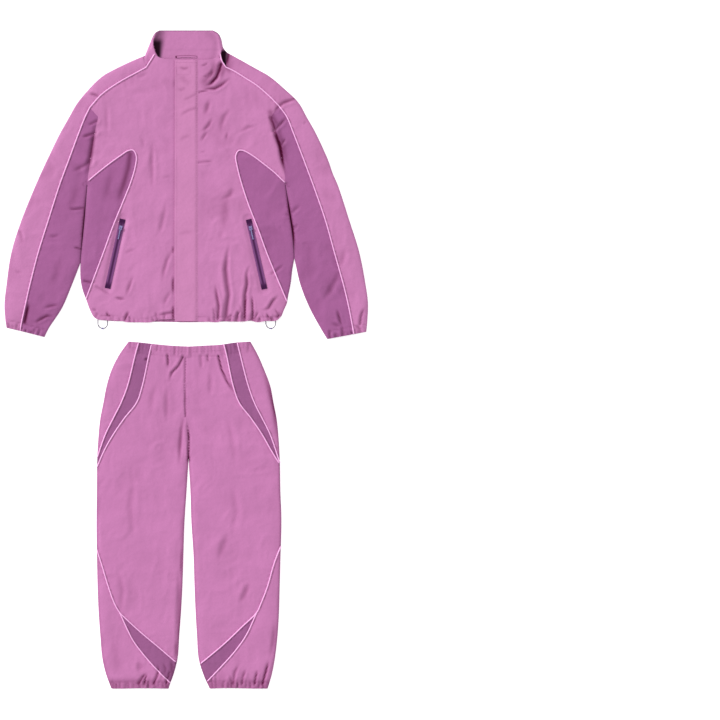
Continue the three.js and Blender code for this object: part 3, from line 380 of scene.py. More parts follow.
BROAD = Ripple(3, 110)
MIDDLE = Ripple(5, 46)
SMALL = Ripple(8, 19)


def roll(distance, reach):
    """0 at an edge to 1 at reach from it, round as a rolled edge."""
    t = np.clip(distance / reach, 0, 1)
    return np.sqrt(1 - (1 - t) ** 2)


def ease(value, low, high):
    """0 at low to 1 at high, with soft ends."""
    t = np.clip((value - low) / (high - low), 0, 1)
    return t * t * (3 - 2 * t)


def bell(distance, width):
    """1 at 0, fading over a width."""
    return np.exp(-(distance / width) ** 2)


def placed(creases, origin, sign=1):
    """Creases with their lines put in plan. The sign is -1 for a view from behind."""
    return [(*c[:5], [((x - origin[0]) * sign * PIXEL, (origin[1] - y) * PIXEL) for x, y in c[5]]) for c in creases]


# Creases: depth, half width, lip on the left (1), right (-1), both (2) or neither (0),
# tint of the shade painted along the fold, ends that stay open ("", "a", "b" or "ab"), and the line in pixels.
JACKET_CREASES = [
    # Collar and right shoulder
    (2.6, 5.0, 2, 0.75, "a", [(220.8, 63.8), (218.8, 70.5), (216, 77.1), (210.4, 83.2), (201.8, 87.4)]),
    (1.6, 3.4, -1, 0.35, "", [(213.5, 66), (212.2, 72.5), (208.6, 76.8), (202, 78)]),
    (1.9, 4.4, 1, 0.5, "", [(233, 76.2), (227, 80), (220.6, 85), (214.4, 88.4), (206, 88.2), (199, 86)]),
    (1.1, 6.5, 2, 0.22, "", [(209.7, 98), (207, 107), (204.4, 116.5)]),
    (1.2, 4.6, 2, 0.25, "", [(212.8, 116.5), (207.7, 125.6), (200.6, 132.6)]),
    (1.0, 4.2, 2, 0.22, "", [(208, 130.2), (202.9, 137), (199.8, 142)]),
    (0.9, 6.0, 2, 0.15, "", [(231.8, 107), (224, 116), (221.1, 124), (219.8, 134)]),
    (0.8, 3.2, 2, 0.2, "", [(227, 131), (225.6, 140)]),
    (0.9, 3.2, 2, 0.2, "a", [(198.3, 162), (205, 161.6), (213.6, 161)]),
    (0.7, 3.0, 2, 0.1, "", [(199.5, 152.4), (205.5, 151.3)]),
    (1.1, 6.5, -1, 0.16, "", [(233.8, 186), (229.7, 194.8), (219.6, 200.4)]),
    (0.9, 4.6, 2, 0.13, "", [(238, 133), (247.3, 127.3), (257, 125.4)]),
    # Left chest
    (1.1, 6.0, 1, 0.14, "", [(152.4, 138), (151.6, 160), (152.4, 193)]),
    (0.9, 6.0, 2, 0.1, "", [(166, 196), (164.6, 210), (160.6, 228), (155, 240)]),
    (0.7, 6.0, 1, 0.08, "", [(106.6, 98), (106.2, 116), (107, 140)]),
    (0.5, 4.5, 2, 0.06, "", [(142, 137), (143.6, 148)]),
    (0.5, 4.0, 2, 0.06, "", [(161, 177.5), (171.6, 176.3)]),
    (1.2, 5.2, 1, 0.2, "", [(174.2, 246), (166.8, 259.5), (163.5, 271), (162, 284)]),
    (0.9, 4.6, 1, 0.14, "", [(172.2, 288), (165.8, 298.6), (162.6, 308)]),
    (1.3, 3.6, 1, 0.3, "b", [(156.5, 315), (164, 313.4), (173.4, 311.8)]),
    (1.3, 4.2, 1, 0.22, "", [(133.7, 273.5), (128.8, 287), (124.8, 298)]),
    (1.3, 3.6, -1, 0.3, "", [(126, 298.4), (120, 298.2), (113.8, 296.8)]),
    (0.7, 4.2, 2, 0.08, "", [(136.2, 249), (130, 250.6), (124, 253.6)]),
    (0.9, 3.8, 1, 0.14, "a", [(96.6, 286.6), (104, 290.6), (112, 295.8)]),
    # Right front, above the hem
    (2.5, 6.2, 2, 0.3, "b", [(230.6, 239.5), (227, 254), (225.3, 268.8), (226.6, 281.5), (228.4, 294.3),
                              (227, 304.5), (225.6, 316)]),
    (0.8, 8.0, 1, 0.06, "", [(223.5, 228), (221, 234), (219.4, 240)]),
    (1.8, 4.0, 1, 0.42, "b", [(214.6, 281), (216.3, 294.3), (218.4, 306), (217.5, 318)]),
    (2.4, 4.4, 2, 0.36, "b", [(253, 262), (248.6, 267), (246.4, 273), (246.8, 284), (244.8, 294.3), (244.2, 306),
                               (244.6, 320)]),
    (1.9, 3.0, 2, 0.5, "b", [(251.2, 292), (252.2, 304), (252.4, 319)]),
    (1.6, 4.2, -1, 0.36, "", [(279.4, 293.6), (272.6, 300.4), (268.4, 307.6), (260.4, 310.8)]),
    (1.0, 4.0, 2, 0.16, "b", [(284.4, 263), (277, 269.4), (272, 273)]),
    # Right armhole, and the line where the body lies on the sleeve
    (2.8, 5.8, 0, 0.95, "", [(269.5, 117), (274.8, 133), (279.6, 146), (282.2, 162), (286.4, 178.5)]),
    (2.0, 3.4, 0, 0.75, "", [(284.6, 184), (289.6, 214), (292.8, 233), (294.6, 258)]),
    (1.6, 4.6, 1, 0.34, "a", [(293.4, 98.6), (283, 102.4), (277, 107.5), (271.6, 116)]),
    (1.5, 4.2, 1, 0.36, "b", [(287.6, 115.4), (280, 123.8), (273, 131)]),
    (1.5, 4.4, 1, 0.36, "b", [(286, 137.4), (279.8, 145.4)]),
    (1.0, 5.0, 1, 0.15, "b", [(301.4, 203.4), (292.2, 211.4), (287, 214)]),
    (1.0, 4.6, 1, 0.15, "b", [(298.4, 223), (291.8, 229.6)]),
    (0.6, 3.4, 2, 0.1, "", [(306, 121), (303.2, 124.4)]),
    # Right sleeve
    (1.3, 9.0, 1, 0.14, "", [(341, 268), (329.4, 290), (320.6, 303)]),
    (0.9, 8.0, 1, 0.08, "", [(346, 244), (339.4, 270)]),
    (1.5, 3.8, 2, 0.34, "", [(336, 307), (339, 318), (342, 328)]),
    (1.4, 3.6, 2, 0.32, "b", [(364, 305.6), (360.6, 316), (359.6, 324)]),
    (1.2, 5.0, 1, 0.16, "", [(330, 322), (337, 325), (342, 326)]),
    # Left armhole and sleeve
    (2.2, 7.0, 0, 0.42, "", [(97.2, 117), (94.6, 128), (91.6, 147), (89.2, 163), (85.6, 182)]),
    (1.7, 3.2, 0, 0.42, "", [(85.8, 186), (84, 214), (81.6, 240), (80.4, 262)]),
    (1.2, 4.0, 1, 0.28, "", [(87.4, 92.8), (93, 94), (101, 96.8)]),
    (1.3, 3.8, -1, 0.26, "b", [(87, 125.4), (92, 123), (97, 120.4)]),
    (1.5, 4.4, -1, 0.32, "b", [(80, 137.2), (87, 135.2), (95, 132.4)]),
    (1.2, 6.0, -1, 0.2, "b", [(71.6, 171.6), (80, 167), (90, 162)]),
    (1.3, 5.0, 0, 0.3, "", [(85.6, 166), (88, 161), (91, 155)]),
    (1.3, 3.8, 2, 0.3, "b", [(66.6, 207.8), (74, 208.8), (82.4, 207.8)]),
    (0.9, 4.2, 2, 0.14, "", [(60.6, 234.4), (54, 236), (46.8, 235.4)]),
    (1.2, 3.4, 2, 0.34, "b", [(73, 246.8), (80.6, 248.4)]),
    (0.7, 4.4, 2, 0.08, "", [(14, 270.6), (22.6, 272.8)]),
    (1.1, 5.4, 0, 0.5, "b", [(28.8, 300), (27, 309), (24.4, 322)]),
    (1.4, 4.4, 1, 0.26, "", [(60.6, 304), (51, 305.4), (41.4, 308)]),
    (1.9, 4.2, 1, 0.4, "", [(55.4, 315.6), (46.6, 315.4), (40.6, 318.6), (32.4, 323.6)]),
    (0.9, 5.0, 1, 0.12, "", [(12, 226), (20, 232), (24, 246)]),
    # Beside the flap's free edge, with the flap's shadow painted on the cloth
    (0.5, 2.6, 0, 0.10, "ab", [(173.9, 60), (173.6, 150), (173.2, 240), (173.2, 320)]),
    (0.8, 3.0, 0, 0.20, "", [(173.8, 77), (173.8, 84), (173.4, 90)]),
    (1.2, 3.2, 0, 0.42, "", [(173.2, 244), (172.8, 248), (172.6, 255)]),
    (1.6, 3.4, 0, 0.56, "", [(173.2, 272), (172.6, 284), (172.9, 297)]),
    (1.6, 3.4, 0, 0.6, "b", [(173.0, 302), (172.7, 312), (173, 321)]),
    # Hem pleats that stand out
    (1.5, 3.2, 2, 0.45, "", [(106.4, 310), (107.2, 314.6), (112.6, 316.6)]),
    (1.6, 3.2, 2, 0.5, "b", [(128.8, 310), (126.2, 315), (124.6, 320)]),
    (1.0, 3.0, 2, 0.25, "", [(90.8, 308.6), (97, 309.8)]),
    (1.0, 3.0, 2, 0.2, "b", [(155.6, 310), (156.6, 320)]),
    (1.6, 3.6, 2, 0.5, "", [(274, 317.8), (278, 315.6), (281.4, 312.6)]),
    (1.4, 3.2, 2, 0.34, "b", [(266, 311.4), (267.4, 316), (273, 320)]),
    (1.3, 3.0, 2, 0.3, "b", [(231, 312), (229.6, 320)]),
    (1.0, 3.2, 2, 0.2, "b", [(236.6, 308), (238, 320)]),
    (0.8, 3.0, 0, 0.75, "b", [(247, 292), (245, 301), (244.2, 318)]),
    # Soft painted shade
    (0.6, 11, 0, 0.24, "", [(217, 59), (213.6, 70), (206, 79), (199, 83)]),
    (0.4, 9, 0, 0.26, "", [(223, 60), (222, 71), (218, 80)]),
    (0.5, 12, 0, 0.13, "", [(231, 190), (225, 203), (223, 236)]),
    (0.6, 9, 0, 0.3, "a", [(130, 154), (128, 168), (122.8, 186), (116, 206)]),
    (0.5, 10, 0, 0.1, "", [(114, 165), (108, 185), (103, 206)]),
    (0.5, 12, 0, 0.1, "", [(80, 178), (73, 200), (66, 216)]),
    (0.5, 11, 0, 0.09, "", [(62, 252), (56, 274), (46, 292)]),
    (0.4, 12, 0, 0.24, "", [(217, 60), (218.6, 68), (215, 76)]),
    (0.3, 10, 0, 0.22, "", [(224, 62), (227, 68), (233, 73)]),
    (0.4, 12, 0, 0.2, "", [(212, 74), (205, 81), (199, 85)]),
    (0.4, 9, 0, 0.22, "", [(275, 118), (278.4, 130), (283, 150), (288, 172)]),
    (1.2, 6.0, 0, 0.5, "a", [(270, 117), (272.6, 124), (276, 134)]),
    (1.0, 3.4, 2, 0.28, "a", [(83.8, 280.4), (90, 281.8), (97, 282)]),
    (0.9, 2.6, 2, 0.3, "", [(199, 77.5), (205, 76), (211, 71.5), (214, 66)]),
    (0.8, 2.6, 2, 0.24, "", [(198.6, 66), (204, 65), (209, 61.5)]),
    (1.0, 2.8, 2, 0.34, "a", [(198.6, 92), (204, 90.6), (210.4, 90)]),
    (0.5, 9, 0, 0.24, "a", [(270, 112), (274, 120), (279, 128)]),
    # Left shoulder and collar side
    (0.8, 3.4, 1, 0.2, "", [(146.4, 47), (144.4, 54), (143.2, 61)]),
    (0.6, 5.0, 2, 0.08, "", [(148, 73), (142, 75.5), (136, 78)]),
]
FLAP_CREASES = [
    (0.5, 4.5, 0, 0.2, "", [(177.6, 66.4), (184, 68.6), (190.4, 67)]),
    (0.3, 9, 0, 0.08, "", [(178, 74), (184, 80), (192, 84)]),
    (0.5, 4.5, 1, 0.12, "b", [(179, 116.4), (184, 112.6), (189, 110), (196, 107.6)]),
    (0.4, 4.0, 1, 0.1, "b", [(181, 100.6), (188, 98), (196, 93.6)]),
    (0.45, 4.5, 1, 0.1, "", [(176, 87.4), (181, 90), (187, 86.6)]),
    (0.4, 5.0, 1, 0.08, "", [(178, 142), (184, 137), (192, 135)]),
    (0.4, 6.0, 1, 0.06, "", [(177, 236), (186, 232), (195, 233)]),
]
TROUSER_CREASES = [
    (2.0, 3.2, 2, 0.42, "a", [(167.2, 355), (167.8, 361), (167.4, 368)]),
    (1.7, 3.4, -1, 0.42, "a", [(182.8, 356.4), (178.2, 365.4), (171.4, 372.2), (168, 383)]),
    (0.9, 6.5, 2, 0.1, "", [(168, 383), (166.4, 398), (166.8, 424)]),
    (1.4, 3.0, 2, 0.26, "a", [(207.3, 355), (208, 363)]),
    (1.0, 4.4, 2, 0.12, "a", [(200.4, 356), (201.4, 370)]),
    (2.1, 2.7, 2, 0.58, "a", [(218, 355.4), (221.4, 369.4), (226.8, 381), (233.4, 391), (238, 398)]),
    (1.0, 2.4, -1, 0.3, "ab", [(184.8, 358), (184.6, 390), (185.4, 416)]),
    (1.5, 5.0, 1, 0.3, "", [(185, 410), (181, 428), (179.4, 450), (179, 470)]),
    (1.9, 3.2, -1, 0.6, "b", [(186.2, 418), (188.4, 436), (188.2, 460)]),
    (1.7, 3.0, 2, 0.5, "", [(144.4, 361), (147.4, 356.4)]),
    (0.8, 8.0, 1, 0.07, "", [(208.6, 366), (210, 380), (209, 400)]),
    (0.8, 9.0, 1, 0.06, "", [(158, 380), (152, 396), (150, 420)]),
    (1.4, 5.0, 1, 0.34, "", [(260.8, 366), (268.4, 388), (273.6, 411), (276.8, 444)]),
    (0.7, 9.0, 1, 0.05, "", [(226, 410), (232, 440), (236, 470)]),
    (0.9, 10.0, 1, 0.06, "", [(135, 470), (130, 505), (134, 540)]),
    (0.8, 10.0, 1, 0.05, "", [(232, 480), (236, 510), (232, 540)]),
    (1.1, 9.0, -1, 0.1, "", [(229, 530), (223, 545), (218, 562)]),
    (1.2, 7.5, -1, 0.16, "", [(250, 580), (244.4, 593.6), (238.6, 604)]),
    (0.8, 8.0, 1, 0.08, "", [(118, 566), (122, 590), (120, 616)]),
    (1.0, 6.0, -1, 0.2, "", [(178.4, 560), (178.8, 596), (178, 640), (176.4, 664)]),
    (0.8, 6.0, 2, 0.08, "", [(137.6, 660), (140.8, 672)]),
    (2.0, 3.2, 1, 0.5, "b", [(147.4, 671.4), (142, 676.4), (138, 683)]),
    (2.0, 3.0, 1, 0.5, "b", [(147.4, 672.8), (145, 677.4), (144.4, 683)]),
    (2.0, 3.6, 1, 0.45, "b", [(157.8, 663), (158, 672), (153.4, 683)]),
    (1.6, 3.0, 1, 0.4, "b", [(170, 667), (168, 676), (165.8, 683)]),
    (1.6, 4.2, 1, 0.3, "b", [(239.6, 662), (234.4, 671.6), (232.6, 683)]),
    (1.6, 3.6, 1, 0.32, "b", [(246, 667), (242.6, 676), (241.6, 683)]),
    (2.0, 3.2, 1, 0.5, "b", [(257.4, 668), (255.4, 676), (254.2, 683)]),
    (2.2, 3.6, 1, 0.6, "b", [(269, 658), (265.4, 671), (262, 683)]),
    (1.0, 6.0, 1, 0.2, "", [(274.8, 618), (272.8, 640), (269.4, 660)]),
    (0.4, 3.2, 0, 0.3, "", [(181.4, 540), (180.6, 560), (180.2, 582)]),
    (0.4, 5.0, 0, 0.26, "", [(176.4, 636), (175.6, 648), (175, 660)]),
    (0.4, 14, 0, 0.06, "", [(113, 630), (116, 656), (118, 678)]),
    (0.4, 9, 0, 0.1, "", [(141, 660), (140, 672)]),
    (0.6, 5.0, 0, 0.26, "", [(170.4, 656), (171.6, 666), (170, 678)]),
    (0.5, 4.0, 0, 0.22, "", [(162, 660), (165, 668), (164, 678)]),
    (0.4, 12, 0, 0.07, "b", [(224, 668), (222, 676), (221, 684)]),
]
BACK_CREASES = [
    (1.0, 7.0, 1, 0.15, "", [(518, 394), (508, 402), (488, 410)]),
    (0.9, 9.0, 1, 0.1, "", [(563, 343), (560, 356), (546, 366)]),
    (1.1, 7.0, 1, 0.2, "", [(604, 366), (590, 380), (576, 402), (566, 430)]),
    (1.2, 5.0, 1, 0.25, "b", [(584, 432), (578, 444), (573, 460), (570, 482)]),
    (1.1, 5.0, 1, 0.25, "b", [(560, 440), (556, 452), (553, 470), (552, 482)]),
    (1.1, 5.0, 1, 0.25, "b", [(500, 452), (494, 462), (490, 474), (488, 482)]),
    (1.0, 5.0, 1, 0.2, "b", [(516, 452), (512, 464), (511, 482)]),
    (1.0, 6.0, 1, 0.2, "b", [(600, 440), (612, 456), (622, 480)]),
    (1.0, 6.0, 1, 0.15, "", [(366, 352), (376, 360), (384, 362)]),
    (1.2, 4.0, 0, 0.3, "", [(500, 217), (506, 219), (512, 220)]),
    (0.9, 7.0, 1, 0.12, "", [(642, 274), (636, 282), (628, 296)]),
    (0.8, 8.0, 1, 0.1, "", [(440, 300), (446, 316), (448, 336)]),
    (0.7, 9.0, 1, 0.08, "", [(470, 330), (466, 352), (470, 380)]),
]


def gathers(line, count, seed, depth=(0.9, 1.9), width=(2.6, 4.2), length=(14, 52), lean=0.22, shade=(0.1, 0.4),
            flip=1):
    """Pleats that run in from a gathered edge, uneven in place, depth, width, length and lean."""
    rng = np.random.default_rng(seed)
    line = np.array(line, float)
    end = lengths(line)[-1]
    made = []
    for k in range(count):
        s = (k + 0.5 + rng.uniform(-0.36, 0.36)) / count * end
        p, after, before = places(line, [s, min(s + 3, end), max(s - 3, 0)])
        t = (after - before) / max(np.linalg.norm(after - before), TINY)
        n = np.array([-t[1], t[0]]) * flip
        reach = length[0] + (length[1] - length[0]) * rng.uniform(0, 1) ** 1.8
        slant = rng.normal(0, lean)
        bend = rng.normal(0, lean * 0.5)
        path = [p - n * 2, p + (n + t * slant * 0.6) * reach * 0.45, p + (n + t * (slant + bend)) * reach]
        strength = rng.uniform(0, 1) ** 1.5
        made.append((depth[0] + (depth[1] - depth[0]) * strength, rng.uniform(*width), 2,
                     shade[0] + (shade[1] - shade[0]) * strength, "a", path))
    return made


def channel(line, inset, depth=0.55, shade=0.12, width=1.7):
    """The sewn line of a casing, beside its edge."""
    return (depth, width, 0, shade, "ab", beside(line, inset))


def apply_creases(points, creases):
    """Height, and the painted shade, that creases add at plan points."""
    height = np.zeros(len(points))
    shade = np.zeros(len(points))
    for depth, width, lip, tint, ends, line in creases:
        line = np.array(line, float)
        reach = width * 4.2
        low, high = line.min(0) - reach, line.max(0) + reach
        near = np.flatnonzero(((points > low) & (points < high)).all(axis=1))
        if not len(near):
            continue
        d, share, side = line_distance(points[near], line)
        keep = d < reach
        near, d, share, side = near[keep], d[keep], share[keep], side[keep]
        up = np.ones(len(share)) if "a" in ends else ease(share, 0, 0.42)
        down = np.ones(len(share)) if "b" in ends else 1 - ease(share, 0.58, 1)
        taper = up * down
        u = d / (width * (0.55 + 0.45 * taper))
        profile = -depth * bell(u, 1)
        if lip:
            where = np.ones(len(d)) if lip == 2 else (side == lip).astype(float)
            rise = 0.36 if lip == 2 else 0.55
            profile = profile + rise * depth * where * bell(u - 2.0, 1.05)
        height[near] += profile * taper
        # Painted shade along the crease, darkest on its line
        strong = tint * (2.3 - 0.8 * tint)
        shade[near] = np.maximum(shade[near], strong * taper * bell(d, width * 0.9))
    return height, shade


def piping_groove(points, lines):
    """The dip of the cloth on both sides of a piped seam, and the shade painted in it."""
    d = lines_distance(points, lines, 12)
    return -0.5 * bell(d - 3.4, 1.8), 0.3 * bell(d - 3.0, 1.3)


# ---- Seam lines of both garments

def jacket_lines(table):
    """Smooth lines of one side of the jacket, cut where its pieces meet."""
    pipe = smooth_parts(table["pipe"], NECK, SHOULDER)
    body_pipe, sleeve_pipe = cut_at(pipe, table["pipe"][SHOULDER])
    shared = smooth(table["shared"])
    outer, middle, back, inner = (np.array(table[key][-1], float) for key in ("outer", "pipe", "back", "inner"))
    arm = table["back_arm"]
    return {
        "pipe": pipe,
        "upper_pipe": cut_at(pipe, table["pipe"][NECK])[1],
        "sleeve_pipe": sleeve_pipe,
        "body_pipe": body_pipe,
        "armhole": smooth_parts(table["armhole"], 1),
        "inner": np.vstack([shared, smooth(table["inner"])[1:]]),
        "side": np.vstack([shared, smooth(table["side"])[1:]]),
        "cuff_upper": smooth([outer, (outer + middle) / 2 + (0, 0.6), middle]),
        "cuff_under": smooth([middle, inner]),
        "cuff_back_upper": smooth([outer, back]),
        "cuff_back_under": smooth([back, inner]),
        "arm_band": smooth(arm[:2])[:-1],
        "arm_main": smooth(arm[1:3])[:-1],
        "arm_side": smooth(arm[2:]),
        **{key: smooth(table[key]) for key in ("outer", "back", "rim", "hem", "wing", "back_side")},
    }


FLIP = {"left": 1, "right": -1}
JACKET = {"left": jacket_lines(JACKET_LEFT), "right": jacket_lines(JACKET_RIGHT)}
LEFT, RIGHT = JACKET.values()
hem_back, band_top, band_low = smooth(HEM_BACK), smooth(BAND_TOP), smooth(BAND_LOW)
JACKET_FOLDS = [lines[key] for lines in JACKET.values() for key in ("outer", "inner", "side")]
JACKET_PIPES = [LEFT["pipe"], RIGHT["pipe"], LEFT["wing"], RIGHT["wing"]]

JACKET_SET = placed(JACKET_CREASES, PHOTO_ORIGIN)
JACKET_SET += gathers(JACKET_LEFT["hem"][:-2], 15, 21, depth=(0.5, 1.5), length=(10, 34), shade=(0.04, 0.3))
JACKET_SET += gathers(JACKET_RIGHT["hem"][2:], 22, 22, depth=(0.6, 1.9), length=(12, 60), shade=(0.05, 0.4))
JACKET_SET += gathers(LEFT["cuff_upper"], 5, 23, length=(8, 30), shade=(0.06, 0.26))
JACKET_SET += gathers(LEFT["cuff_under"], 8, 24, length=(10, 34), shade=(0.06, 0.34))
JACKET_SET += gathers(RIGHT["cuff_upper"], 5, 25, length=(8, 34), shade=(0.06, 0.26), flip=-1)
JACKET_SET += gathers(RIGHT["cuff_under"], 8, 26, length=(10, 38), shade=(0.06, 0.34), flip=-1)
JACKET_SET += [channel(LEFT["hem"][:-6], HEM_DEPTH), channel(RIGHT["hem"][6:], HEM_DEPTH)]
JACKET_SET += [channel(joined(lines["cuff_upper"], lines["cuff_under"]), CUFF_DEPTH * FLIP[side])
               for side, lines in JACKET.items()]

BACK_SET = placed(BACK_CREASES, BACK_ORIGIN, -1)
BACK_SET += gathers(HEM_BACK, 34, 31, depth=(0.5, 1.5), width=(3.2, 5.0), length=(16, 70), shade=(0.06, 0.34))
for side, lines in JACKET.items():
    flip = FLIP[side]
    BACK_SET += gathers(lines["cuff_back_upper"], 4, 33 - flip, depth=(0.4, 1.1), length=(8, 30), flip=flip)
    BACK_SET += gathers(lines["cuff_back_under"], 6, 34 - flip, depth=(0.4, 1.1), length=(8, 34), flip=flip)

LEGS = {side: {key: smooth(points) for key, points in table.items()} for side, table in
        (("left", LEG_LEFT), ("right", LEG_RIGHT))}
centre_seam = smooth(CENTRE)
TROUSER_FOLDS = [LEGS[side][key] for key in ("out", "in") for side in LEGS]
TROUSER_PIPES = [lines[key] for lines in LEGS.values() for key in ("stripe_out", "stripe_in", "calf", "shin")]
TROUSER_SET = placed(TROUSER_CREASES, PHOTO_ORIGIN)
TROUSER_BACK_SET = []
for side, lines in LEGS.items():
    flip, waist, ankle = FLIP[side], lines["waist"], lines["ankle"]
    TROUSER_SET += gathers(waist, 17, 41 + flip, depth=(0.5, 1.3), width=(2.2, 3.6), length=(26, 54), lean=0.08,
                           shade=(0.04, 0.16), flip=flip)
    TROUSER_SET += gathers(ankle, 15, 51 + flip, depth=(0.6, 1.6), width=(2.4, 3.8), length=(22, 50), lean=0.12,
                           shade=(0.06, 0.26), flip=flip)
    TROUSER_SET += [channel(waist, WAIST_DEPTH * flip, 0.5, 0.05), channel(ankle, ANKLE_DEPTH * flip, 0.6),
                    channel(ankle, (ANKLE_DEPTH + 3) * flip, 0.4, 0.09, 7.5)]
    TROUSER_BACK_SET += gathers(waist, 16, 61 + flip, depth=(0.4, 1.2), width=(2.8, 4.2), length=(34, 80), lean=0.1,
                                shade=(0.05, 0.25), flip=flip)
    TROUSER_BACK_SET += gathers(ankle, 12, 71 + flip, depth=(0.4, 1.2), width=(2.8, 4.2), length=(20, 50), lean=0.12,
                                shade=(0.05, 0.25), flip=flip)
    TROUSER_BACK_SET += [channel(waist, WAIST_DEPTH * flip, 0.5), channel(ankle, ANKLE_DEPTH * flip, 0.5)]


# ---- Height and shade of the cloth over the plan

def wrinkled(points):
    """The slight unevenness of light cloth that lies loose: broad waves, and sharp-crested small ones."""
    bent = points + np.stack([MIDDLE(points * 0.6), MIDDLE(points * 0.6 + 900)], 1) * 26
    crests = 1 - np.abs(MIDDLE(bent)) * 2
    small = 1 - np.abs(SMALL(bent * (1, 0.7))) * 2
    return 0.9 * BROAD(points) + 0.8 * MIDDLE(points + 70) + 0.62 * crests + 0.34 * small


def crowned(points, folds):
    """Distance to the folded edges, and the height of a garment that is thin there and loftier inside."""
    d = lines_distance(points, folds, CROWN_REACH)
    return d, FOLD_Z + EDGE_RISE * roll(d, FOLD_RADIUS) + (CROWN - FOLD_Z - EDGE_RISE) * roll(d, CROWN_REACH)


def kept_between(z, d):
    """Heights kept over the under cloth and below the highest crest."""
    return np.clip(z, np.where(d < 6, FOLD_Z, LOWEST_TOP), HIGHEST_TOP)


def jacket_top(points):
    """Height and painted shade of the jacket's upper cloth."""
    d, base = crowned(points, JACKET_FOLDS)
    crease, shade = apply_creases(points, JACKET_SET)
    groove, line_shade = piping_groove(points, JACKET_PIPES)
    calm = 0.2 + 0.8 * ease(np.abs(points[:, 0] - 1), 30, 56)      # under the flap the cloth lies smoother
    soft = wrinkled(points)
    z = base + (crease * RELIEF * (0.3 + 0.7 * calm) + soft * calm + groove) * ease(d, 0.5, 12)
    z = z - 0.9 * (1 - ease(points[:, 1], 108, 150)) * ease(d, 0, 8)
    z = kept_between(z, d)
    beside_zip = 1 - ease(lines_distance(points, ZIP_LINES, 30), 8.6, 20)
    z = z + (np.minimum(z, ZIP_FLOOR) - z) * beside_zip
    # Painted shade in the low places of the loose cloth and along its rolled edges
    painted_shade = 0.11 * ease(-soft * calm, -0.2, 1.5) + 0.14 * bell(d, 3.4)
    return z, np.maximum(shade, line_shade) + painted_shade


def casing(points, key, depth):
    """1 on the trousers' casings beside an edge, 0 off them."""
    d = lines_distance(points, [lines[key] for lines in LEGS.values()], depth + 8)
    return 1 - ease(d, depth - 4, depth + 7)


def trouser_top(points):
    """Height and painted shade of the trousers' upper cloth."""
    d, base = crowned(points, TROUSER_FOLDS)
    crease, shade = apply_creases(points, TROUSER_SET)
    groove, line_shade = piping_groove(points, TROUSER_PIPES)
    soft = wrinkled(points + 400)
    z = base + (crease * RELIEF + soft + groove) * ease(d, 0.5, 12)
    # Painted shade in the low places of the loose cloth, along the rolled edges, and on the gathered casings, most at
    # the ankles
    painted_shade = 0.05 * ease(-soft, -0.2, 1.5) + 0.36 * bell(d, 4.2)
    painted_shade += 0.04 * casing(points, "waist", WAIST_DEPTH)
    painted_shade += 0.26 * casing(points, "ankle", ANKLE_DEPTH)
    return kept_between(z, d), np.maximum(shade, line_shade) + painted_shade


def under_height(points, folds, creases):
    """Height and shade of a garment's under cloth, whose creases go up into it."""
    d = lines_distance(points, folds, CROWN_REACH)
    crease, shade = apply_creases(points, creases)
    lift = np.clip(-crease, -0.1, 1.3)
    z = UNDER_Z + (FOLD_Z - UNDER_Z) * (1 - roll(d, FOLD_RADIUS)) + lift * ease(d, 1, 14)
    return np.clip(z, 0.05, FOLD_Z), shade


def jacket_under(points):
    return under_height(points, JACKET_FOLDS, BACK_SET)


def trouser_under(points):
    return under_height(points, TROUSER_FOLDS, TROUSER_BACK_SET)


def yoke_top(points):
    """The yoke's upper cloth, which dips where it starts beside the collar, with the collar's shadow painted on it
    there.
    """
    z, shade = jacket_top(points)
    start = line_distance(points, [(120, 900), (115, 848)], 90)[0]
    # Painted shadow: broad and soft from the start line, and near black close to it in the upper part
    painted_collar_shadow = 1.15 * bell(start, 5) * ease(points[:, 1], 850, 876)
    return z - 1.4 * bell(start, 12), np.maximum(shade, 0.54 * bell(start, 17) + painted_collar_shadow)


# ---- Meshes

def corners(co, tris):
    """The three corners of each triangle."""
    return (co[tris[:, i]] for i in range(3))


def weld(parts):
    """Several sheets as one, joined where their points meet."""
    co = np.vstack([p[0] for p in parts])
    shade = np.concatenate([p[2] for p in parts])
    offset = np.cumsum([0] + [len(p[0]) for p in parts[:-1]])
    tris = np.vstack([p[1] + o for p, o in zip(parts, offset)])
    key = np.round(co / WELD).astype(np.int64)
    _, first, same = np.unique(key, axis=0, return_index=True, return_inverse=True)
    co, shade = co[first], shade[first]
    tris = same.ravel()[tris]
    tris = tris[(tris[:, 0] != tris[:, 1]) & (tris[:, 1] != tris[:, 2]) & (tris[:, 0] != tris[:, 2])]
    used, flat = np.unique(tris, return_inverse=True)
    return co[used], flat.reshape(-1, 3), shade[used]


def point_normals(co, tris):
    """Normals of a sheet at its points."""
    a, b, c = corners(co, tris)
    face = np.cross(b - a, c - a)
    normal = np.zeros_like(co)
    for i in range(3):
        np.add.at(normal, tris[:, i], face)
    return normal / np.maximum(np.linalg.norm(normal, axis=1, keepdims=True), 1e-12)


def walled(co, tris, shade, wall):
    """A closed shell: the sheet, the same sheet a wall's thickness behind it, and the rim between them."""
    inner = co - point_normals(co, tris) * wall
    n = len(co)
    edges = np.vstack([tris[:, [0, 1]], tris[:, [1, 2]], tris[:, [2, 0]]])
    _, index, count = np.unique(np.sort(edges, axis=1), axis=0, return_index=True, return_counts=True)
    rim = edges[index[count == 1]]
    a, b = rim[:, 0], rim[:, 1]
    sides = np.vstack([np.stack([b, a, a + n], 1), np.stack([b, a + n, b + n], 1)])
    return np.vstack([co, inner]), np.vstack([tris, tris[:, ::-1] + n, sides]), np.concatenate([shade, shade]), rim


def grid_faces(rows, columns):
    """Triangles of a grid of points that are listed row by row."""
    grid = np.arange(rows * columns).reshape(rows, columns)
    a, b, c, d = grid[:-1, :-1].ravel(), grid[1:, :-1].ravel(), grid[1:, 1:].ravel(), grid[:-1, 1:].ravel()
    return np.vstack([np.stack([a, b, c], 1), np.stack([a, c, d], 1)])


def linked(name, data):
    """A new object in the scene."""
    o = bpy.data.objects.new(name, data)
    bpy.context.scene.collection.objects.link(o)
    return o


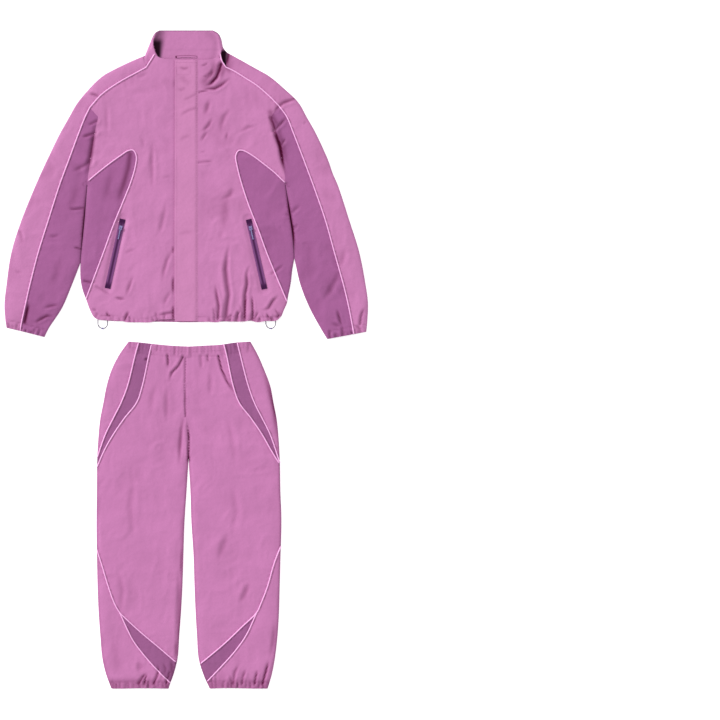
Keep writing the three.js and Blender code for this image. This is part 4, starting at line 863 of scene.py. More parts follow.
def mesh_object(name, co, faces, material, shade=None, rim=None, smooth_faces=True):
    """A mesh from millimetre points. A rim is sharp on both sides of a shell's wall."""
    mesh = bpy.data.meshes.new(name)
    co = np.asarray(co, float) * MM
    faces = np.asarray(faces)
    mesh.vertices.add(len(co))
    mesh.vertices.foreach_set("co", co.astype(np.float32).ravel())
    size = faces.shape[1]
    mesh.loops.add(len(faces) * size)
    mesh.loops.foreach_set("vertex_index", faces.astype(np.int32).ravel())
    mesh.polygons.add(len(faces))
    mesh.polygons.foreach_set("loop_start", np.arange(0, len(faces) * size, size, dtype=np.int32))
    mesh.update(calc_edges=True)
    mesh.validate()
    mesh.polygons.foreach_set("use_smooth", np.full(len(mesh.polygons), smooth_faces))
    if shade is not None:
        attribute = mesh.attributes.new("fold_shade", "FLOAT", "POINT")
        attribute.data.foreach_set("value", np.asarray(shade, np.float32))
    if rim is not None:
        n = len(co)
        pairs = np.zeros(len(mesh.edges) * 2, np.int32)
        mesh.edges.foreach_get("vertices", pairs)
        pairs = np.sort(pairs.reshape(-1, 2), axis=1).astype(np.int64)
        rim = np.sort(rim, axis=1).astype(np.int64)
        both = np.vstack([rim, rim + n // 2])
        mark = np.isin(pairs[:, 0] * (2 * n) + pairs[:, 1], both[:, 0] * (2 * n) + both[:, 1])
        mesh.edges.foreach_set("use_edge_sharp", mark)
    mesh.materials.append(material)
    return linked(name, mesh)


def on_suit(o, node=None):
    """Puts an object on the suit's body, and in the place of a CAD node if there is one."""
    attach(o, "suit")
    if node:
        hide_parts(node)
    return o


def sheet_part(plan, height, up=True):
    """Plan triangles raised to a height function."""
    used, flat = np.unique(plan[1], return_inverse=True)
    points = plan[0][used]
    z, shade = height(points)
    faces = flat.reshape(-1, 3)
    return np.column_stack([points, z]), faces if up else faces[:, ::-1], shade


def cloth_piece(name, parts, material, node, wall=WALL):
    """A piece of cloth that stands for a CAD node."""
    co, tris, shade = weld(parts)
    co, faces, shade, rim = walled(co, tris, shade, wall)
    o = on_suit(mesh_object(name, co, faces, material, shade, rim), node)


def tube(line, radius, sides=8):
    """A tube along points in space, with end caps."""
    tangent = np.gradient(line, axis=0)
    tangent /= np.linalg.norm(tangent, axis=1, keepdims=True)
    across = np.cross(tangent, (0, 0, 1))
    across /= np.maximum(np.linalg.norm(across, axis=1, keepdims=True), TINY)
    up = np.cross(across, tangent)
    angle = np.arange(sides) * 2 * np.pi / sides
    ring = [line + across * radius * np.cos(a) + up * radius * np.sin(a) for a in angle]
    co = np.vstack([np.stack(ring, 1).reshape(-1, 3), line[0], line[-1]])
    n = len(line)
    i, j = np.meshgrid(np.arange(n - 1), np.arange(sides), indexing="ij")
    i, j = i.ravel(), j.ravel()
    k = (j + 1) % sides
    a, b, c, d = i * sides + j, i * sides + k, (i + 1) * sides + k, (i + 1) * sides + j
    j = np.arange(sides)
    k = (j + 1) % sides
    start, end, last = len(co) - 2, len(co) - 1, (n - 1) * sides
    faces = np.vstack([np.stack([a, b, c], 1), np.stack([a, c, d], 1),
                       np.stack([np.full(sides, start), k, j], 1),
                       np.stack([np.full(sides, end), last + j, last + k], 1)])
    return co, faces[:, ::-1]


# ---- Materials

def srgb(r, g, b):
    """A colour from its 0..255 values on the screen."""
    def linear(v):
        v /= 255
        return v / 12.92 if v <= 0.04045 else ((v + 0.055) / 1.055) ** 2.4
    return linear(r), linear(g), linear(b), 1


def shaded(colour, share):
    """A colour made darker or lighter."""
    return tuple(c * share for c in colour[:3]) + (1,)


def feed(tree, node, inputs):
    """Sets a node's inputs, or links them where the value is another node's output."""
    for key, value in inputs.items():
        if isinstance(value, bpy.types.NodeSocket):
            tree.links.new(value, node.inputs[key])
        else:
            node.inputs[key].default_value = value


def made_node(tree, kind, output, inputs, **settings):
    """One output of a new shader node."""
    node = tree.nodes.new("ShaderNode" + kind)
    for key, value in settings.items():
        setattr(node, key, value)
    feed(tree, node, inputs)
    return node.outputs[output]


def new_material(name):
    """A material, its tree, its shader, and the object's own coordinates."""
    material = bpy.data.materials.new(name)
    material.use_nodes = True
    tree = material.node_tree
    tree.nodes.clear()
    out = tree.nodes.new("ShaderNodeOutputMaterial")
    shader = tree.nodes.new("ShaderNodeBsdfPrincipled")
    tree.links.new(shader.outputs["BSDF"], out.inputs["Surface"])
    return material, tree, shader, made_node(tree, "TexCoord", "Object", {})


def noise(tree, place, scale, detail=3.0, roughness=0.55):
    return made_node(tree, "TexNoise", "Fac", {"Scale": scale, "Detail": detail, "Roughness": roughness,
                                               "Vector": place})


def ramp(tree, value, low, high, a, b):
    """A value mapped from low..high to a..b."""
    return made_node(tree, "MapRange", "Result", {"From Min": low, "From Max": high, "To Min": a, "To Max": b,
                                                  "Value": value})


def mixed(tree, share, a, b):
    """Colour a to b by a share. Each is a value or a socket."""
    return made_node(tree, "Mix", 2, {6: a, 7: b, 0: share}, data_type="RGBA")


def combined(tree, a, b, kind):
    return made_node(tree, "Math", 0, {0: a, 1: b}, operation=kind)


def bump(tree, height, strength, distance, **under):
    return made_node(tree, "Bump", "Normal", {"Strength": strength, "Distance": distance, "Height": height, **under})


def threads(tree, place, direction):
    return made_node(tree, "TexWave", "Fac", {"Scale": 560, "Distortion": 0.6, "Detail": 1.0, "Detail Scale": 2.0,
                                              "Vector": place}, wave_type="BANDS", bands_direction=direction)


def cloth_material(name, colour, shadow, sheen=0.18):
    """Plain-woven nylon: threads both ways, faint mottling, soft sheen, and painted shade by each point's fold_shade
    value.
    """
    material, tree, shader, place = new_material(name)
    mottle = ramp(tree, noise(tree, place, 11, 4), 0.3, 0.7, 0.0, 1.0)
    tone = mixed(tree, mottle, shaded(colour, 0.955), shaded(colour, 1.035))
    fine = ramp(tree, noise(tree, place, 260, 2), 0.35, 0.65, 0.0, 1.0)
    tone = mixed(tree, fine, mixed(tree, 0.03, tone, shadow), tone)
    # Painted shade: the colour goes to the shadow colour as fold_shade goes from 0 to 1
    fold = made_node(tree, "Attribute", "Fac", {}, attribute_name="fold_shade")
    tone = mixed(tree, fold, tone, shadow)
    weave = combined(tree, threads(tree, place, "X"), threads(tree, place, "Y"), "MULTIPLY")
    broad = combined(tree, noise(tree, place, 24, 2), 1.4, "MULTIPLY")
    crumple = combined(tree, noise(tree, place, 75, 3, 0.6), broad, "ADD")
    # Where fold_shade is past 1 the painted shade goes on to near black, and gloss and sheen fade where shade is
    # painted
    feed(tree, shader, {
        "Base Color": mixed(tree, ramp(tree, fold, 1.0, 2.0, 0.0, 1.0), tone, srgb(16, 1, 9)),
        "Roughness": ramp(tree, noise(tree, place, 40, 3), 0.3, 0.7, 0.5, 0.64),
        "Specular IOR Level": ramp(tree, fold, 0, 0.8, 0.3, 0.02),
        "Sheen Weight": ramp(tree, fold, 0, 0.8, sheen, 0),
        "Sheen Roughness": 0.45,
        "Normal": bump(tree, crumple, 0.45, 0.002, Normal=bump(tree, weave, 0.18, 0.0002)),
    })
    return material


def trim_material(name, colour, dark, scale, rough=0.5, metal=0.0, strength=0.3, distance=0.0003):
    """A small trim with grain of its own scale."""
    material, tree, shader, place = new_material(name)
    grain = noise(tree, place, scale, 3)
    feed(tree, shader, {
        "Base Color": mixed(tree, ramp(tree, grain, 0.3, 0.7, 0.0, 1.0), dark, colour),
        "Roughness": ramp(tree, grain, 0.3, 0.7, rough - 0.06, rough + 0.08),
        "Metallic": metal,
        "Normal": bump(tree, grain, strength, distance),
    })
    return material


LIGHT = cloth_material("nylon_light", srgb(200, 125, 178), srgb(104, 34, 76))
LIGHT_TROUSERS = cloth_material("nylon_light_trousers", srgb(199, 123, 177), srgb(104, 34, 76))
FLAP_CLOTH = cloth_material("nylon_flap", srgb(204, 130, 180), srgb(104, 34, 76))
# The collar's nylon: its near-black shadow colour is for the painted shadow inside the collar
INSIDE = cloth_material("nylon_inside", srgb(198, 123, 176), srgb(20, 2, 12), sheen=0.05)
DARK = cloth_material("nylon_dark", srgb(165, 92, 149), srgb(78, 14, 48))
STRIPE = cloth_material("nylon_stripe", srgb(155, 88, 140), srgb(78, 18, 52))
PIPE = trim_material("satin_piping", srgb(255, 194, 241), srgb(246, 172, 228), 900, 0.42)
THREAD = trim_material("sewing_thread", srgb(196, 118, 172), srgb(170, 92, 148), 2500, 0.6)
TAPE = cloth_material("zip_tape_weave", srgb(124, 66, 126), srgb(46, 16, 52), sheen=0.05)
TEETH = trim_material("zip_teeth", srgb(58, 26, 70), srgb(36, 12, 48), 1800, 0.45)
METAL = trim_material("zip_pull_metal", srgb(158, 150, 198), srgb(84, 70, 116), 500, 0.28, 0.8, 0.15, 0.0001)
CORD_CLOTH = trim_material("loop_cord_braid", srgb(88, 68, 98), srgb(58, 42, 70), 1500, 0.6)


# ---- Camera and lights

camera_data = bpy.data.cameras.new("camera")
camera_data.lens = LENS
camera_data.sensor_width = SENSOR
camera_data.clip_end = 100
camera = linked("camera", camera_data)
camera.location = ((PHOTO_MIDDLE - PHOTO_ORIGIN[0]) * PIXEL * MM, (PHOTO_ORIGIN[1] - PHOTO_MIDDLE) * PIXEL * MM,
                   PHOTO_WIDTH * PIXEL * MM * LENS / SENSOR)
bpy.context.scene.camera = camera
bpy.context.scene.view_settings.view_transform = "Standard"

world = bpy.data.worlds.new("studio")
world.use_nodes = True
world.node_tree.nodes["Background"].inputs["Color"].default_value = (1, 0.99, 1, 1)
world.node_tree.nodes["Background"].inputs["Strength"].default_value = 0.53
bpy.context.scene.world = world


def sun(name, direction, strength, angle):
    """A far light. The angle says how soft its shadows are."""
    data = bpy.data.lights.new(name, "SUN")
    data.energy = strength
    data.angle = math.radians(angle)
    o = linked(name, data)
    o.rotation_mode = "QUATERNION"
    o.rotation_quaternion = Vector(direction).to_track_quat("-Z", "Y")


sun("key_light", (0.80, -0.50, -0.50), 2.5, 18)
sun("top_light", (-0.1, -0.1, -1.0), 0.45, 50)

floor_material, floor_tree, floor_shader, floor_place = new_material("pale_floor")
floor_tone = mixed(floor_tree, noise(floor_tree, floor_place, 3, 2), (0.97, 0.97, 0.97, 1), (0.985, 0.985, 0.985, 1))
feed(floor_tree, floor_shader, {"Base Color": floor_tone, "Roughness": 0.9, "Specular IOR Level": 0.0,
                                "Emission Color": (1, 1, 1, 1), "Emission Strength": 0.45})
floor_mesh = bpy.data.meshes.new("floor")
floor_mesh.from_pydata([(-FLOOR, -FLOOR, 0), (FLOOR, -FLOOR, 0), (FLOOR, FLOOR, 0), (-FLOOR, FLOOR, 0)], [],
                       [(0, 1, 2, 3)])
floor_mesh.materials.append(floor_material)
linked("floor", floor_mesh)


# ---- Hem loops, each a free cord through a crimp

def loop_points(centre):
    """Down one side of a hem loop, round its bow and up the other side."""
    half, drop, rise, level = (LOOP[k] for k in ("half", "drop", "rise", "level"))
    low = centre[1] - drop + half
    left = [(centre[0] - half, low + rise * (1 - i / 4), level) for i in range(4)]
    arc = [(centre[0] + half * math.cos(a), low + half * math.sin(a), level)
           for a in np.linspace(math.pi, 2 * math.pi, 25)]
    right = [(centre[0] + half, low + rise * i / 4, level) for i in range(1, 5)]
    return left + arc + right


def crimp_shape(centre):
    """A short tube with turned-in lips, at the loop's lowest point."""
    n = len(CRIMP_PROFILE)
    ring, faces = [], []
    for k in range(CRIMP_TURNS):
        angle = 2 * math.pi * k / CRIMP_TURNS
        after = (k + 1) % CRIMP_TURNS
        for i, (radius, along) in enumerate(CRIMP_PROFILE):
            ring.append((centre[0] + along, centre[1] - LOOP["drop"] + radius * math.cos(angle),
                         LOOP["level"] + radius * math.sin(angle)))
            j = (i + 1) % n
            faces.append((k * n + i, k * n + j, after * n + j, after * n + i))
    return ring, faces


for side, centre in LOOPS.items():
    points = loop_points(centre)
    curve = bpy.data.curves.new(f"loop_cord_{side}", "CURVE")
    curve.dimensions = "3D"
    curve.bevel_depth = LOOP["cord"] / 2 * MM
    curve.bevel_resolution = 3
    curve.use_fill_caps = True
    spline = curve.splines.new("POLY")
    spline.points.add(len(points) - 1)
    for spot, p in zip(spline.points, points):
        spot.co = (p[0] * MM, p[1] * MM, p[2] * MM, 1)
    curve.materials.append(CORD_CLOTH)
    cord = on_suit(linked(f"loop_cord_{side}", curve), f"hem_loop_{side}")
    crimp = on_suit(mesh_object(f"loop_crimp_{side}", *crimp_shape(centre), METAL),
                    f"hem_loop_crimp_{side}")


# ---- Jacket cloth

def body_plan(side):
    """Half of the jacket's front: its points and triangles, and which of these are the dark side panel."""
    lines, flip = JACKET[side], FLIP[side]
    edge = -ZIP_EDGE * flip
    outline = joined(lines["body_pipe"], lines["armhole"], lines["side"], lines["hem"][::flip], [(edge, 113.0)],
                     [(edge, 870.0)], lines["rim"][::-flip])
    co, tris = triangles_of(outline, TOP_PITCH, [lines["wing"]], [lines["side"]])
    far = -360 * flip
    return co, tris, inside(co[tris].mean(axis=1), np.vstack([lines["wing"], [(far, 140), (far, 508)]]))


def under_plan(*lines, folds=()):
    """Triangles of a piece of under cloth, from the lines around it."""
    return triangles_of(joined(*lines), UNDER_PITCH, [], folds)


hem_left, hem_rest = cut_at(hem_back, JACKET_LEFT["back_side"][-1])
hem_middle, hem_right = cut_at(hem_rest, JACKET_RIGHT["back_side"][-1])
HEM_ENDS = {"left": hem_left, "right": hem_right}
neck_base = np.vstack([smooth(NECK_BASE[i:i + 2]) for i in range(3)])

for side, lines in JACKET.items():
    arm_band, arm_main, arm_side = (lines[key][::-1] for key in ("arm_band", "arm_main", "arm_side"))
    co, tris, dark = body_plan(side)
    side_under = under_plan(lines["back_side"], HEM_ENDS[side][::-FLIP[side]], lines["side"][::-1], arm_side,
                            folds=[lines["side"]])
    cloth_piece(f"front_cloth_{side}", [sheet_part((co, tris[~dark]), jacket_top)], LIGHT,
                f"jacket_front_{side}")
    cloth_piece(f"side_cloth_{side}",
                [sheet_part((co, tris[dark]), jacket_top), sheet_part(side_under, jacket_under, up=False)],
                DARK, f"jacket_side_panel_{side}")
    sleeve_top = triangles_of(joined(lines["sleeve_pipe"], lines["cuff_under"], lines["inner"][::-1],
                                     lines["armhole"][::-1]), TOP_PITCH, [], [lines["inner"]])
    sleeve_under = under_plan(lines["back"], lines["cuff_back_under"], lines["inner"][::-1], arm_side, arm_main,
                              arm_band, folds=[lines["inner"]])
    cloth_piece(f"under_sleeve_cloth_{side}",
                [sheet_part(sleeve_top, jacket_top), sheet_part(sleeve_under, jacket_under, up=False)],
                DARK, f"jacket_under_sleeve_{side}")

upper_left, upper_right = (triangles_of(joined(lines["outer"], lines["cuff_upper"], lines["upper_pipe"][::-1]),
                                        TOP_PITCH, [], [lines["outer"]]) for lines in JACKET.values())
yoke_under = under_plan(LEFT["outer"], LEFT["cuff_back_upper"], LEFT["back"][::-1], band_top, RIGHT["back"],
                        RIGHT["cuff_back_upper"][::-1], RIGHT["outer"][::-1], neck_base,
                        folds=[LEFT["outer"], RIGHT["outer"]])
band_under = under_plan(band_top, RIGHT["arm_band"], band_low[::-1], LEFT["arm_band"][::-1])
main_under = under_plan(band_low, RIGHT["arm_main"], RIGHT["back_side"], hem_middle[::-1], LEFT["back_side"][::-1],
                        LEFT["arm_main"][::-1])
cloth_piece("yoke_and_sleeves_cloth",
            [sheet_part(upper_left, jacket_top), sheet_part(upper_right, yoke_top),
             sheet_part(yoke_under, jacket_under, up=False)],
            LIGHT, "jacket_yoke_and_upper_sleeves")
cloth_piece("back_band_cloth", [sheet_part(band_under, jacket_under, up=False)], DARK,
            "jacket_back_band")
cloth_piece("back_main_cloth", [sheet_part(main_under, jacket_under, up=False)], LIGHT,
            "jacket_back_main")


# ---- Trousers

def beyond(line, far):
    """The region from a line out to a far side."""
    return np.vstack([line, [(far, line[-1][1]), (far, line[0][1])]])


def below(line, far, top):
    """The region from a line down and out to a far side."""
    return np.vstack([line, [(line[-1][0], -LEG_FAR), (far, -LEG_FAR), (far, top)]])


LEG_OUTLINES = {side: joined(v["out"], v["ankle"], v["in"][::-1], centre_seam[::-1], v["waist"])
                for side, v in LEGS.items()}
for side, lines in LEGS.items():
    far = -LEG_FAR * FLIP[side]
    calf, shin, folds = lines["calf"], lines["shin"], [lines["out"], lines["in"]]
    seams = [lines["stripe_out"], lines["stripe_in"], calf, shin]
    co, tris = triangles_of(LEG_OUTLINES[side], TOP_PITCH, seams, folds)
    centre = co[tris].mean(axis=1)
    hip = inside(centre, beyond(lines["stripe_out"], far))
    stripe = inside(centre, beyond(lines["stripe_in"], far)) & ~hip
    below_calf = inside(centre, below(calf, far, calf[0][1]))
    shin_edge = np.vstack([calf[calf[:, 1] > shin[0][1] + 0.5], shin])
    below_shin = inside(centre, below(shin_edge, far, calf[0][1]))
    regions = {
        "front": (~hip & ~stripe & ~below_calf, LIGHT_TROUSERS, "cloth_light", (268, 923)),
        "hip": (hip & ~below_calf, LIGHT_TROUSERS, "cloth_light", (60, 368)),
        "stripe": (stripe & ~below_calf, STRIPE, "cloth_dark", (56, 389)),
        "wedge": (below_calf & ~below_shin, STRIPE, "cloth_dark", (52, 247)),
        "lower": (below_calf & below_shin, LIGHT_TROUSERS, "cloth_light", (165, 461)),
    }
    for place, (mask, material, slot, cut) in regions.items():
        cloth_piece(f"trouser_{place}_cloth_{side}", [sheet_part((co, tris[mask]), trouser_top)], material,
                    f"trousers_{place}_{side}")
    back = under_plan(LEG_OUTLINES[side], folds=folds)
    cloth_piece(f"trouser_back_cloth_{side}", [sheet_part(back, trouser_under, up=False)], LIGHT_TROUSERS,
                f"trousers_back_{side}")


# ---- Piping

def piping_piece(name, node, line, height=None, within=None):
    """A cord sewn in a seam: on the upper cloth, or on the floor where there is no height function."""
    if within is not None:
        line = line[inside(line, within)]
    z = height(line)[0] + PIPE_RISE if height else np.full(len(line), UNDER_PIPE_RADIUS)
    co, faces = tube(np.column_stack([line, z]), PIPE_RADIUS if height else UNDER_PIPE_RADIUS)
    on_suit(mesh_object(name, co, faces, PIPE), node)


for side, lines in JACKET.items():
    body = joined(lines["body_pipe"], lines["armhole"], lines["side"], [(0, 110), (0, 870)])
    piping_piece(f"sleeve_piping_{side}", f"jacket_piping_sleeve_{side}", lines["pipe"], jacket_top)
    piping_piece(f"side_piping_{side}", f"jacket_piping_side_front_{side}", lines["wing"], jacket_top, body)
    piping_piece(f"sleeve_back_piping_{side}", f"jacket_piping_sleeve_back_{side}", lines["back"])
piping_piece("band_top_piping", "jacket_piping_band_top", band_top)
piping_piece("band_low_piping", "jacket_piping_band_low", band_low)
for side, lines in JACKET.items():
    piping_piece(f"side_back_piping_{side}", f"jacket_piping_side_back_{side}", lines["back_side"])
for side, lines in LEGS.items():
    for place, key in (("out", "stripe_out"), ("in", "stripe_in"), ("calf", "calf"), ("shin", "shin")):
        piping_piece(f"trouser_piping_{place}_{side}", f"trousers_piping_{place}_{side}", lines[key], trouser_top,
                     LEG_OUTLINES[side])


# ---- Collar

collar_edge = joined(
    smooth([(-120, 848), (-125, 878), (-120, 881)]),
    smooth([(-120, 881), (-108, 911), (-98, 935), (-90, 948), (-78, COLLAR_TOP)]),
    smooth([(-78, COLLAR_TOP), (78, COLLAR_TOP)]),
    smooth([(78, COLLAR_TOP), (93, 946), (102, 928), (107, 905), (119.6, 889.6)]),
    smooth([(119.6, 889.6), (123.5, 886), (119, 850)]), smooth([(119, 850), (100, 861)]),
    smooth([(100, 861), (-100, 861)]), smooth([(-100, 861), (-120, 848)]))
rim_left, rim_right = smooth(COLLAR_RIM_LEFT, 3), smooth(COLLAR_RIM_RIGHT, 3)
mouth = joined(rim_left[::-1], [COLLAR_RIM_RIGHT[0]], rim_right)


def collar_top(points):
    """Inside of the back collar between its two rolled sides, and the sides' outer face, with shadow and shade painted
    on them.
    """
    x, y = points[:, 0], points[:, 1]
    d_edge = line_distance(points, closed(collar_edge), 40)[0]
    d_left = line_distance(points, rim_left, 40)[0]
    d_right = line_distance(points, rim_right, 40)[0]
    rim = np.minimum(d_left, d_right)
    within = inside(points, mouth) & (rim > 0.1)
    fade = ease(y, 856, 892)
    top_fade = 1 - 0.75 * ease(y, 934, COLLAR_TOP)
    inner = COLLAR_INSIDE_Z + (6.4 * bell(d_left, 7.0) + 5.4 * bell(d_right, 8.0)) * fade * top_fade
    inner = inner + 0.25 * MIDDLE(points * 1.7)
    outer = (FOLD_Z + 1.2 + 5.0 * bell(rim, 16.0) * fade) * roll(d_edge, 7) + 0.8
    z = np.minimum(np.where(within, inner, outer), COLLAR_EDGE_Z + 3.5 * roll(d_edge, 4) + 20 * ease(d_edge, 3, 30))
    # The sides go down under the yoke, the left one from its seam on
    beneath = jacket_top(points)[0] - 1.15
    z = z + (beneath - z) * ease(-x, 108, 113) * (y < 884)
    z = np.where(np.abs(x) > 112, np.minimum(z, np.maximum(beneath, 1.7)), z)
    # Painted shadow, near black, in the left side's hollow and on the right side's outer face; painted shade in a thin
    # line along the top edge and softly inside near the right side
    deep = 1 - ease(x, -79, -60 + 0.25 * (y - 905))
    painted_shadow_left = deep * (0.55 + 0.45 * (1 - ease(y, 918, 938))) * within
    painted_edge_shade = 0.75 * bell(d_edge - 0.2, 1.9) * ease(y, 925, 940)
    in_shadow = ((x > 60) & ~within) * (1 - ease(y, 892, 908)) * ease(d_right, 0.3, 3)
    in_shadow = in_shadow * (0.99 - 0.25 * ease(x, 112, 120))
    shade = np.maximum(np.maximum(0.98 * painted_shadow_left, in_shadow), painted_edge_shade)
    soft = 0.16 * bell(d_right - 14, 12) * within + 0.05 * bell(y - 899, 3.5) * within
    return z, np.maximum(shade, soft)


def collar_under(points):
    """The collar's outer face, which lies on the floor."""
    d = line_distance(points, closed(collar_edge), 20)[0]
    return 0.3 + (COLLAR_EDGE_Z - 0.3) * (1 - roll(d, 2.2)), np.zeros(len(points))


plan = triangles_of(collar_edge, COLLAR_PITCH, [rim_left, rim_right])
collar_parts = [sheet_part(plan, collar_top), sheet_part(plan, collar_under, up=False)]
on_edge = line_distance(plan[0], closed(collar_edge), 3)[0] < 0.01
for part in collar_parts:
    part[0][on_edge[np.unique(plan[1])], 2] = COLLAR_EDGE_Z
co, tris, shade = weld(collar_parts)
collar = on_suit(mesh_object("collar_cloth", co, tris, INSIDE, shade), "jacket_collar")


# ---- Storm flap

FLAP_SET = placed(FLAP_CREASES, PHOTO_ORIGIN)


def flap_height(points):
    """The flap lies on both fronts, sewn down along its right edge and free on its left."""
    x = points[:, 0]
    low = jacket_top(points)[0]
    crease, shade = apply_creases(points, FLAP_SET)
    top = CROWN + 0.35 + FLAP["gap"] + FLAP["thick"] + 0.3 * MIDDLE(points * (2.2, 0.7)) + crease
    left_curl = 0.8 * (1 - ease(x, FLAP["left"], FLAP["left"] + 9)) * SMALL(points * (0.0, 0.5))
    top = np.maximum(top, low + FLAP["gap"] + FLAP["thick"] * 0.9)
    sewn_down = ease(x, FLAP["right"] - 9, FLAP["right"])
    top = top + (low + 0.35 - top) * sewn_down
    # A slight groove along the sewn edge, with painted shade in it that is stronger towards the top
    seam = bell(x - FLAP["right"] + 3, 1.8)
    return top + left_curl - 0.35 * seam, np.maximum(shade, (0.18 + 0.2 * ease(points[:, 1], 590, 730)) * seam)


flap_left = smooth([(FLAP["left"], FLAP["top"]), (FLAP["left"] - 0.5, 600), (FLAP["left"] - 1.5, 300),
                    (FLAP["left"] - 0.5, FLAP["bottom"])])
flap_right = smooth([(FLAP["right"], FLAP["top"]), (FLAP["right"], FLAP["bottom"])])
flap_outline = joined(flap_left, smooth([flap_left[-1], flap_right[-1]]), flap_right[::-1],
                      smooth([flap_right[0], flap_left[0]]))
cloth_piece("flap_cloth", [sheet_part(triangles_of(flap_outline, FLAP_PITCH), flap_height)], FLAP_CLOTH,
            "jacket_storm_flap",
            wall=FLAP["thick"])


# ---- Pocket zips

def along_zip(pocket):
    """A pocket zip's lower end, its direction, the direction across it, and its length."""
    top, bottom = np.array(pocket["top"], float), np.array(pocket["bottom"], float)
    length = np.linalg.norm(top - bottom)
    along = (top - bottom) / length
    return bottom, along, np.array([-along[1], along[0]]), length


def boxes(centres, x, y, size):
    """Small blocks with narrower tops at given places, all one way round."""
    z = np.cross(x, y)
    hx, hy, hz = (s / 2 for s in size)
    shape = np.array([(-hx, -hy, 0), (hx, -hy, 0), (hx, hy, 0), (-hx, hy, 0),
                      (-hx * 0.7, -hy * 0.6, 2 * hz), (hx * 0.7, -hy * 0.6, 2 * hz),
                      (hx * 0.7, hy * 0.6, 2 * hz), (-hx * 0.7, hy * 0.6, 2 * hz)])
    quads = np.array([(3, 2, 1, 0), (4, 5, 6, 7), (0, 1, 5, 4), (1, 2, 6, 5), (2, 3, 7, 6), (3, 0, 4, 7)])
    co = [np.array(c) + shape[:, :1] * x + shape[:, 1:2] * y + shape[:, 2:] * z for c in centres]
    return np.vstack(co), np.vstack([quads + 8 * i for i in range(len(co))])


for side, pocket in POCKETS.items():
    start, along, across, length = along_zip(pocket)
    slider_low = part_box(f"pocket_zip_slider_{side}")[0].z / MM
    rows = np.linspace(0, length, 54)
    columns = np.linspace(-TAPE_WIDTH / 2, TAPE_WIDTH / 2, 9)
    plan = np.array([start + along * r + across * c for r in rows for c in columns])
    off = np.abs(np.tile(columns, len(rows)))
    z = np.minimum(jacket_top(plan)[0] + 0.45 - 0.4 * (off < 3.2), slider_low - 0.2)
    # The tape is darker along its middle, where the teeth run, and towards both ends
    from_end = np.repeat(np.minimum(rows, length - rows), len(columns))
    shade = np.maximum(0.75 * np.exp(-(off / 3.6) ** 4), 0.85 * (1 - ease(from_end, 8, 26)))
    co, faces, shade, rim = walled(np.column_stack([plan, z]), grid_faces(len(rows), len(columns))[:, ::-1], shade,
                                   TAPE_WALL)
    on_suit(mesh_object(f"zip_tape_{side}", co, faces, TAPE, shade, rim), f"pocket_zip_tape_{side}")
    # Teeth of both rows, offset by half a pitch
    centres = []
    for k in range(int((length - 8) / TOOTH["pitch"] * 2)):
        p = start + along * (4 + k * TOOTH["pitch"] / 2) + across * (1 if k % 2 else -1) * 1.5
        centres.append((p[0], p[1], min(jacket_top(p[None])[0][0] - 0.05, slider_low - 0.85)))
    co, faces = boxes(centres, np.append(across, 0), -np.append(along, 0),
                      (TOOTH["length"], TOOTH["width"], TOOTH["height"]))
    on_suit(mesh_object(f"zip_teeth_{side}", co, faces, TEETH, smooth_faces=False))

for name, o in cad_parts.items():
    for prefix, material in (("jacket_front_zip", TAPE), ("pocket_zip_slider", METAL), ("pocket_zip_pull_tab", METAL)):
        if name.startswith(prefix):
            o.data.materials.clear()
            o.data.materials.append(material)


# ---- Hanger loop: a narrow folded strip that bows up from the collar

rows = np.linspace(-HANGER["half"], HANGER["half"], 32)
columns = np.linspace(-HANGER["width"] / 2, HANGER["width"] / 2, 5)
plan = np.array([(x, HANGER["y"] + c + 1.4 * (1 - (x / HANGER["half"]) ** 2)) for x in rows for c in columns])
z = HANGER["z"] + 1.1 * (1 - (plan[:, 0] / HANGER["half"]) ** 2) ** 0.5
# Painted shade along the strip's upper edge, and painted shadow, near black, at its left end
edge_shade = 0.55 * ease(np.tile(columns, len(rows)), -0.5, 2)
shade = np.maximum(edge_shade, 1.5 * (1 - ease(plan[:, 0], -30, -25)))
co, faces, shade, rim = walled(np.column_stack([plan, z]), grid_faces(len(rows), len(columns)), shade,
                               HANGER["wall"])
on_suit(mesh_object("hanger_loop_strip", co, faces, LIGHT, shade, rim), "jacket_hanger_loop")


# ---- Sewing: each stitch is a short thread on the cloth

def stitches(line, height):
    """Both ends of each stitch along a line."""
    line = smooth(line, 2.0) if len(line) < 6 else np.array(line, float)
    at = np.arange(1.5, lengths(line)[-1] - STITCH["length"], STITCH["pitch"])
    ends = [places(line, at + e) for e in (0, STITCH["length"])]
    return list(zip(*[np.column_stack([e, height(e)[0] + STITCH["raised"]]) for e in ends]))


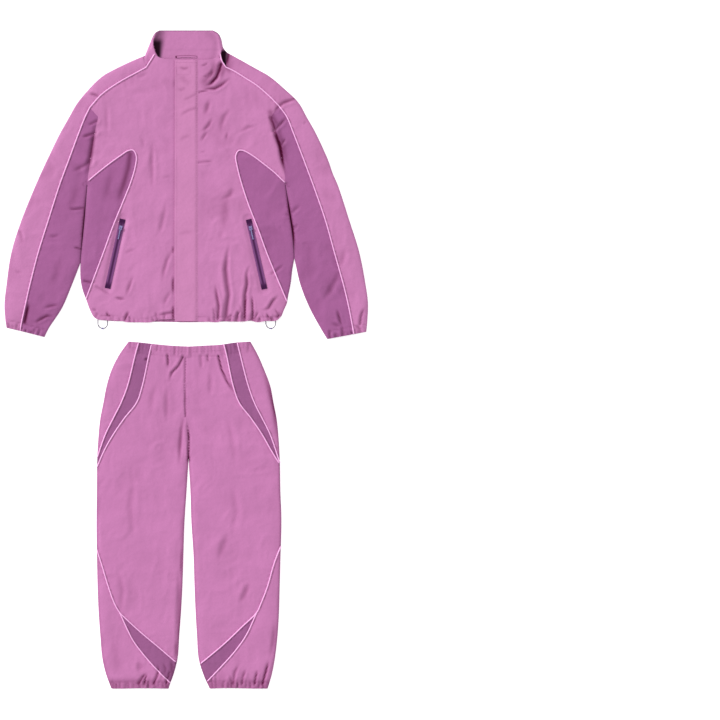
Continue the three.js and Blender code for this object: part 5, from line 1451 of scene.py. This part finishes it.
def sewn(name, runs):
    """One object from runs of stitches, each a thread with pointed ends and a thicker middle."""
    co, faces = [], []
    for a, b in [s for run in runs for s in run]:
        d = b - a
        n = np.cross(d, (0, 0, 1))
        n /= max(np.linalg.norm(n), TINY)
        up = np.cross(n, d / np.linalg.norm(d))
        base = len(co)
        for p, w, h in ((a, 0.1, 0.0), ((a + b) / 2, 0.42, 0.22), (b, 0.1, 0.0)):
            co += [p + n * w + up * h * 0.2, p + up * (h + 0.1), p - n * w + up * h * 0.2, p - up * 0.35]
        for r in (0, 4):
            for k in range(4):
                m = (k + 1) % 4
                faces.append((base + r + k, base + r + 4 + k, base + r + 4 + m, base + r + m))
        faces += [(base + 3, base + 2, base + 1, base), (base + 8, base + 9, base + 10, base + 11)]
    on_suit(mesh_object(name, np.array(co), np.array(faces), THREAD))


jacket_runs = [stitches(beside(LEFT["hem"][4:-6], HEM_DEPTH), jacket_top),
               stitches(beside(RIGHT["hem"][6:-4], HEM_DEPTH), jacket_top)]
jacket_runs += [stitches(beside(lines[key], CUFF_DEPTH * FLIP[side]), jacket_top)
                for side, lines in JACKET.items() for key in ("cuff_upper", "cuff_under")]
jacket_runs += [stitches(line, flap_height) for line in (
    [(FLAP["right"] - 3, 866), (FLAP["right"] - 3, 116)], [(FLAP["left"] + 5, 866), (FLAP["left"] + 5, 116)],
    [(-30, 861), (31, 861)], [(-28, 854), (-28, 826)], [(12, 854), (12, 826)], [(-28, 826), (12, 826)])]
for pocket in POCKETS.values():
    start, along, across, length = along_zip(pocket)
    box = [start + along * s + across * c for s, c in
           ((-3, -10), (length + 3, -10), (length + 3, 10), (-3, 10), (-3, -10))]
    jacket_runs += [stitches([p, q], jacket_top) for p, q in zip(box[:-1], box[1:])]
sewn("jacket_sewing", jacket_runs)
sewn("trouser_sewing", [stitches(beside(lines[key], depth * FLIP[side]), trouser_top)
                        for side, lines in LEGS.items()
                        for key, depth in (("waist", WAIST_DEPTH), ("waist", WAIST_MIDDLE), ("ankle", ANKLE_DEPTH))])
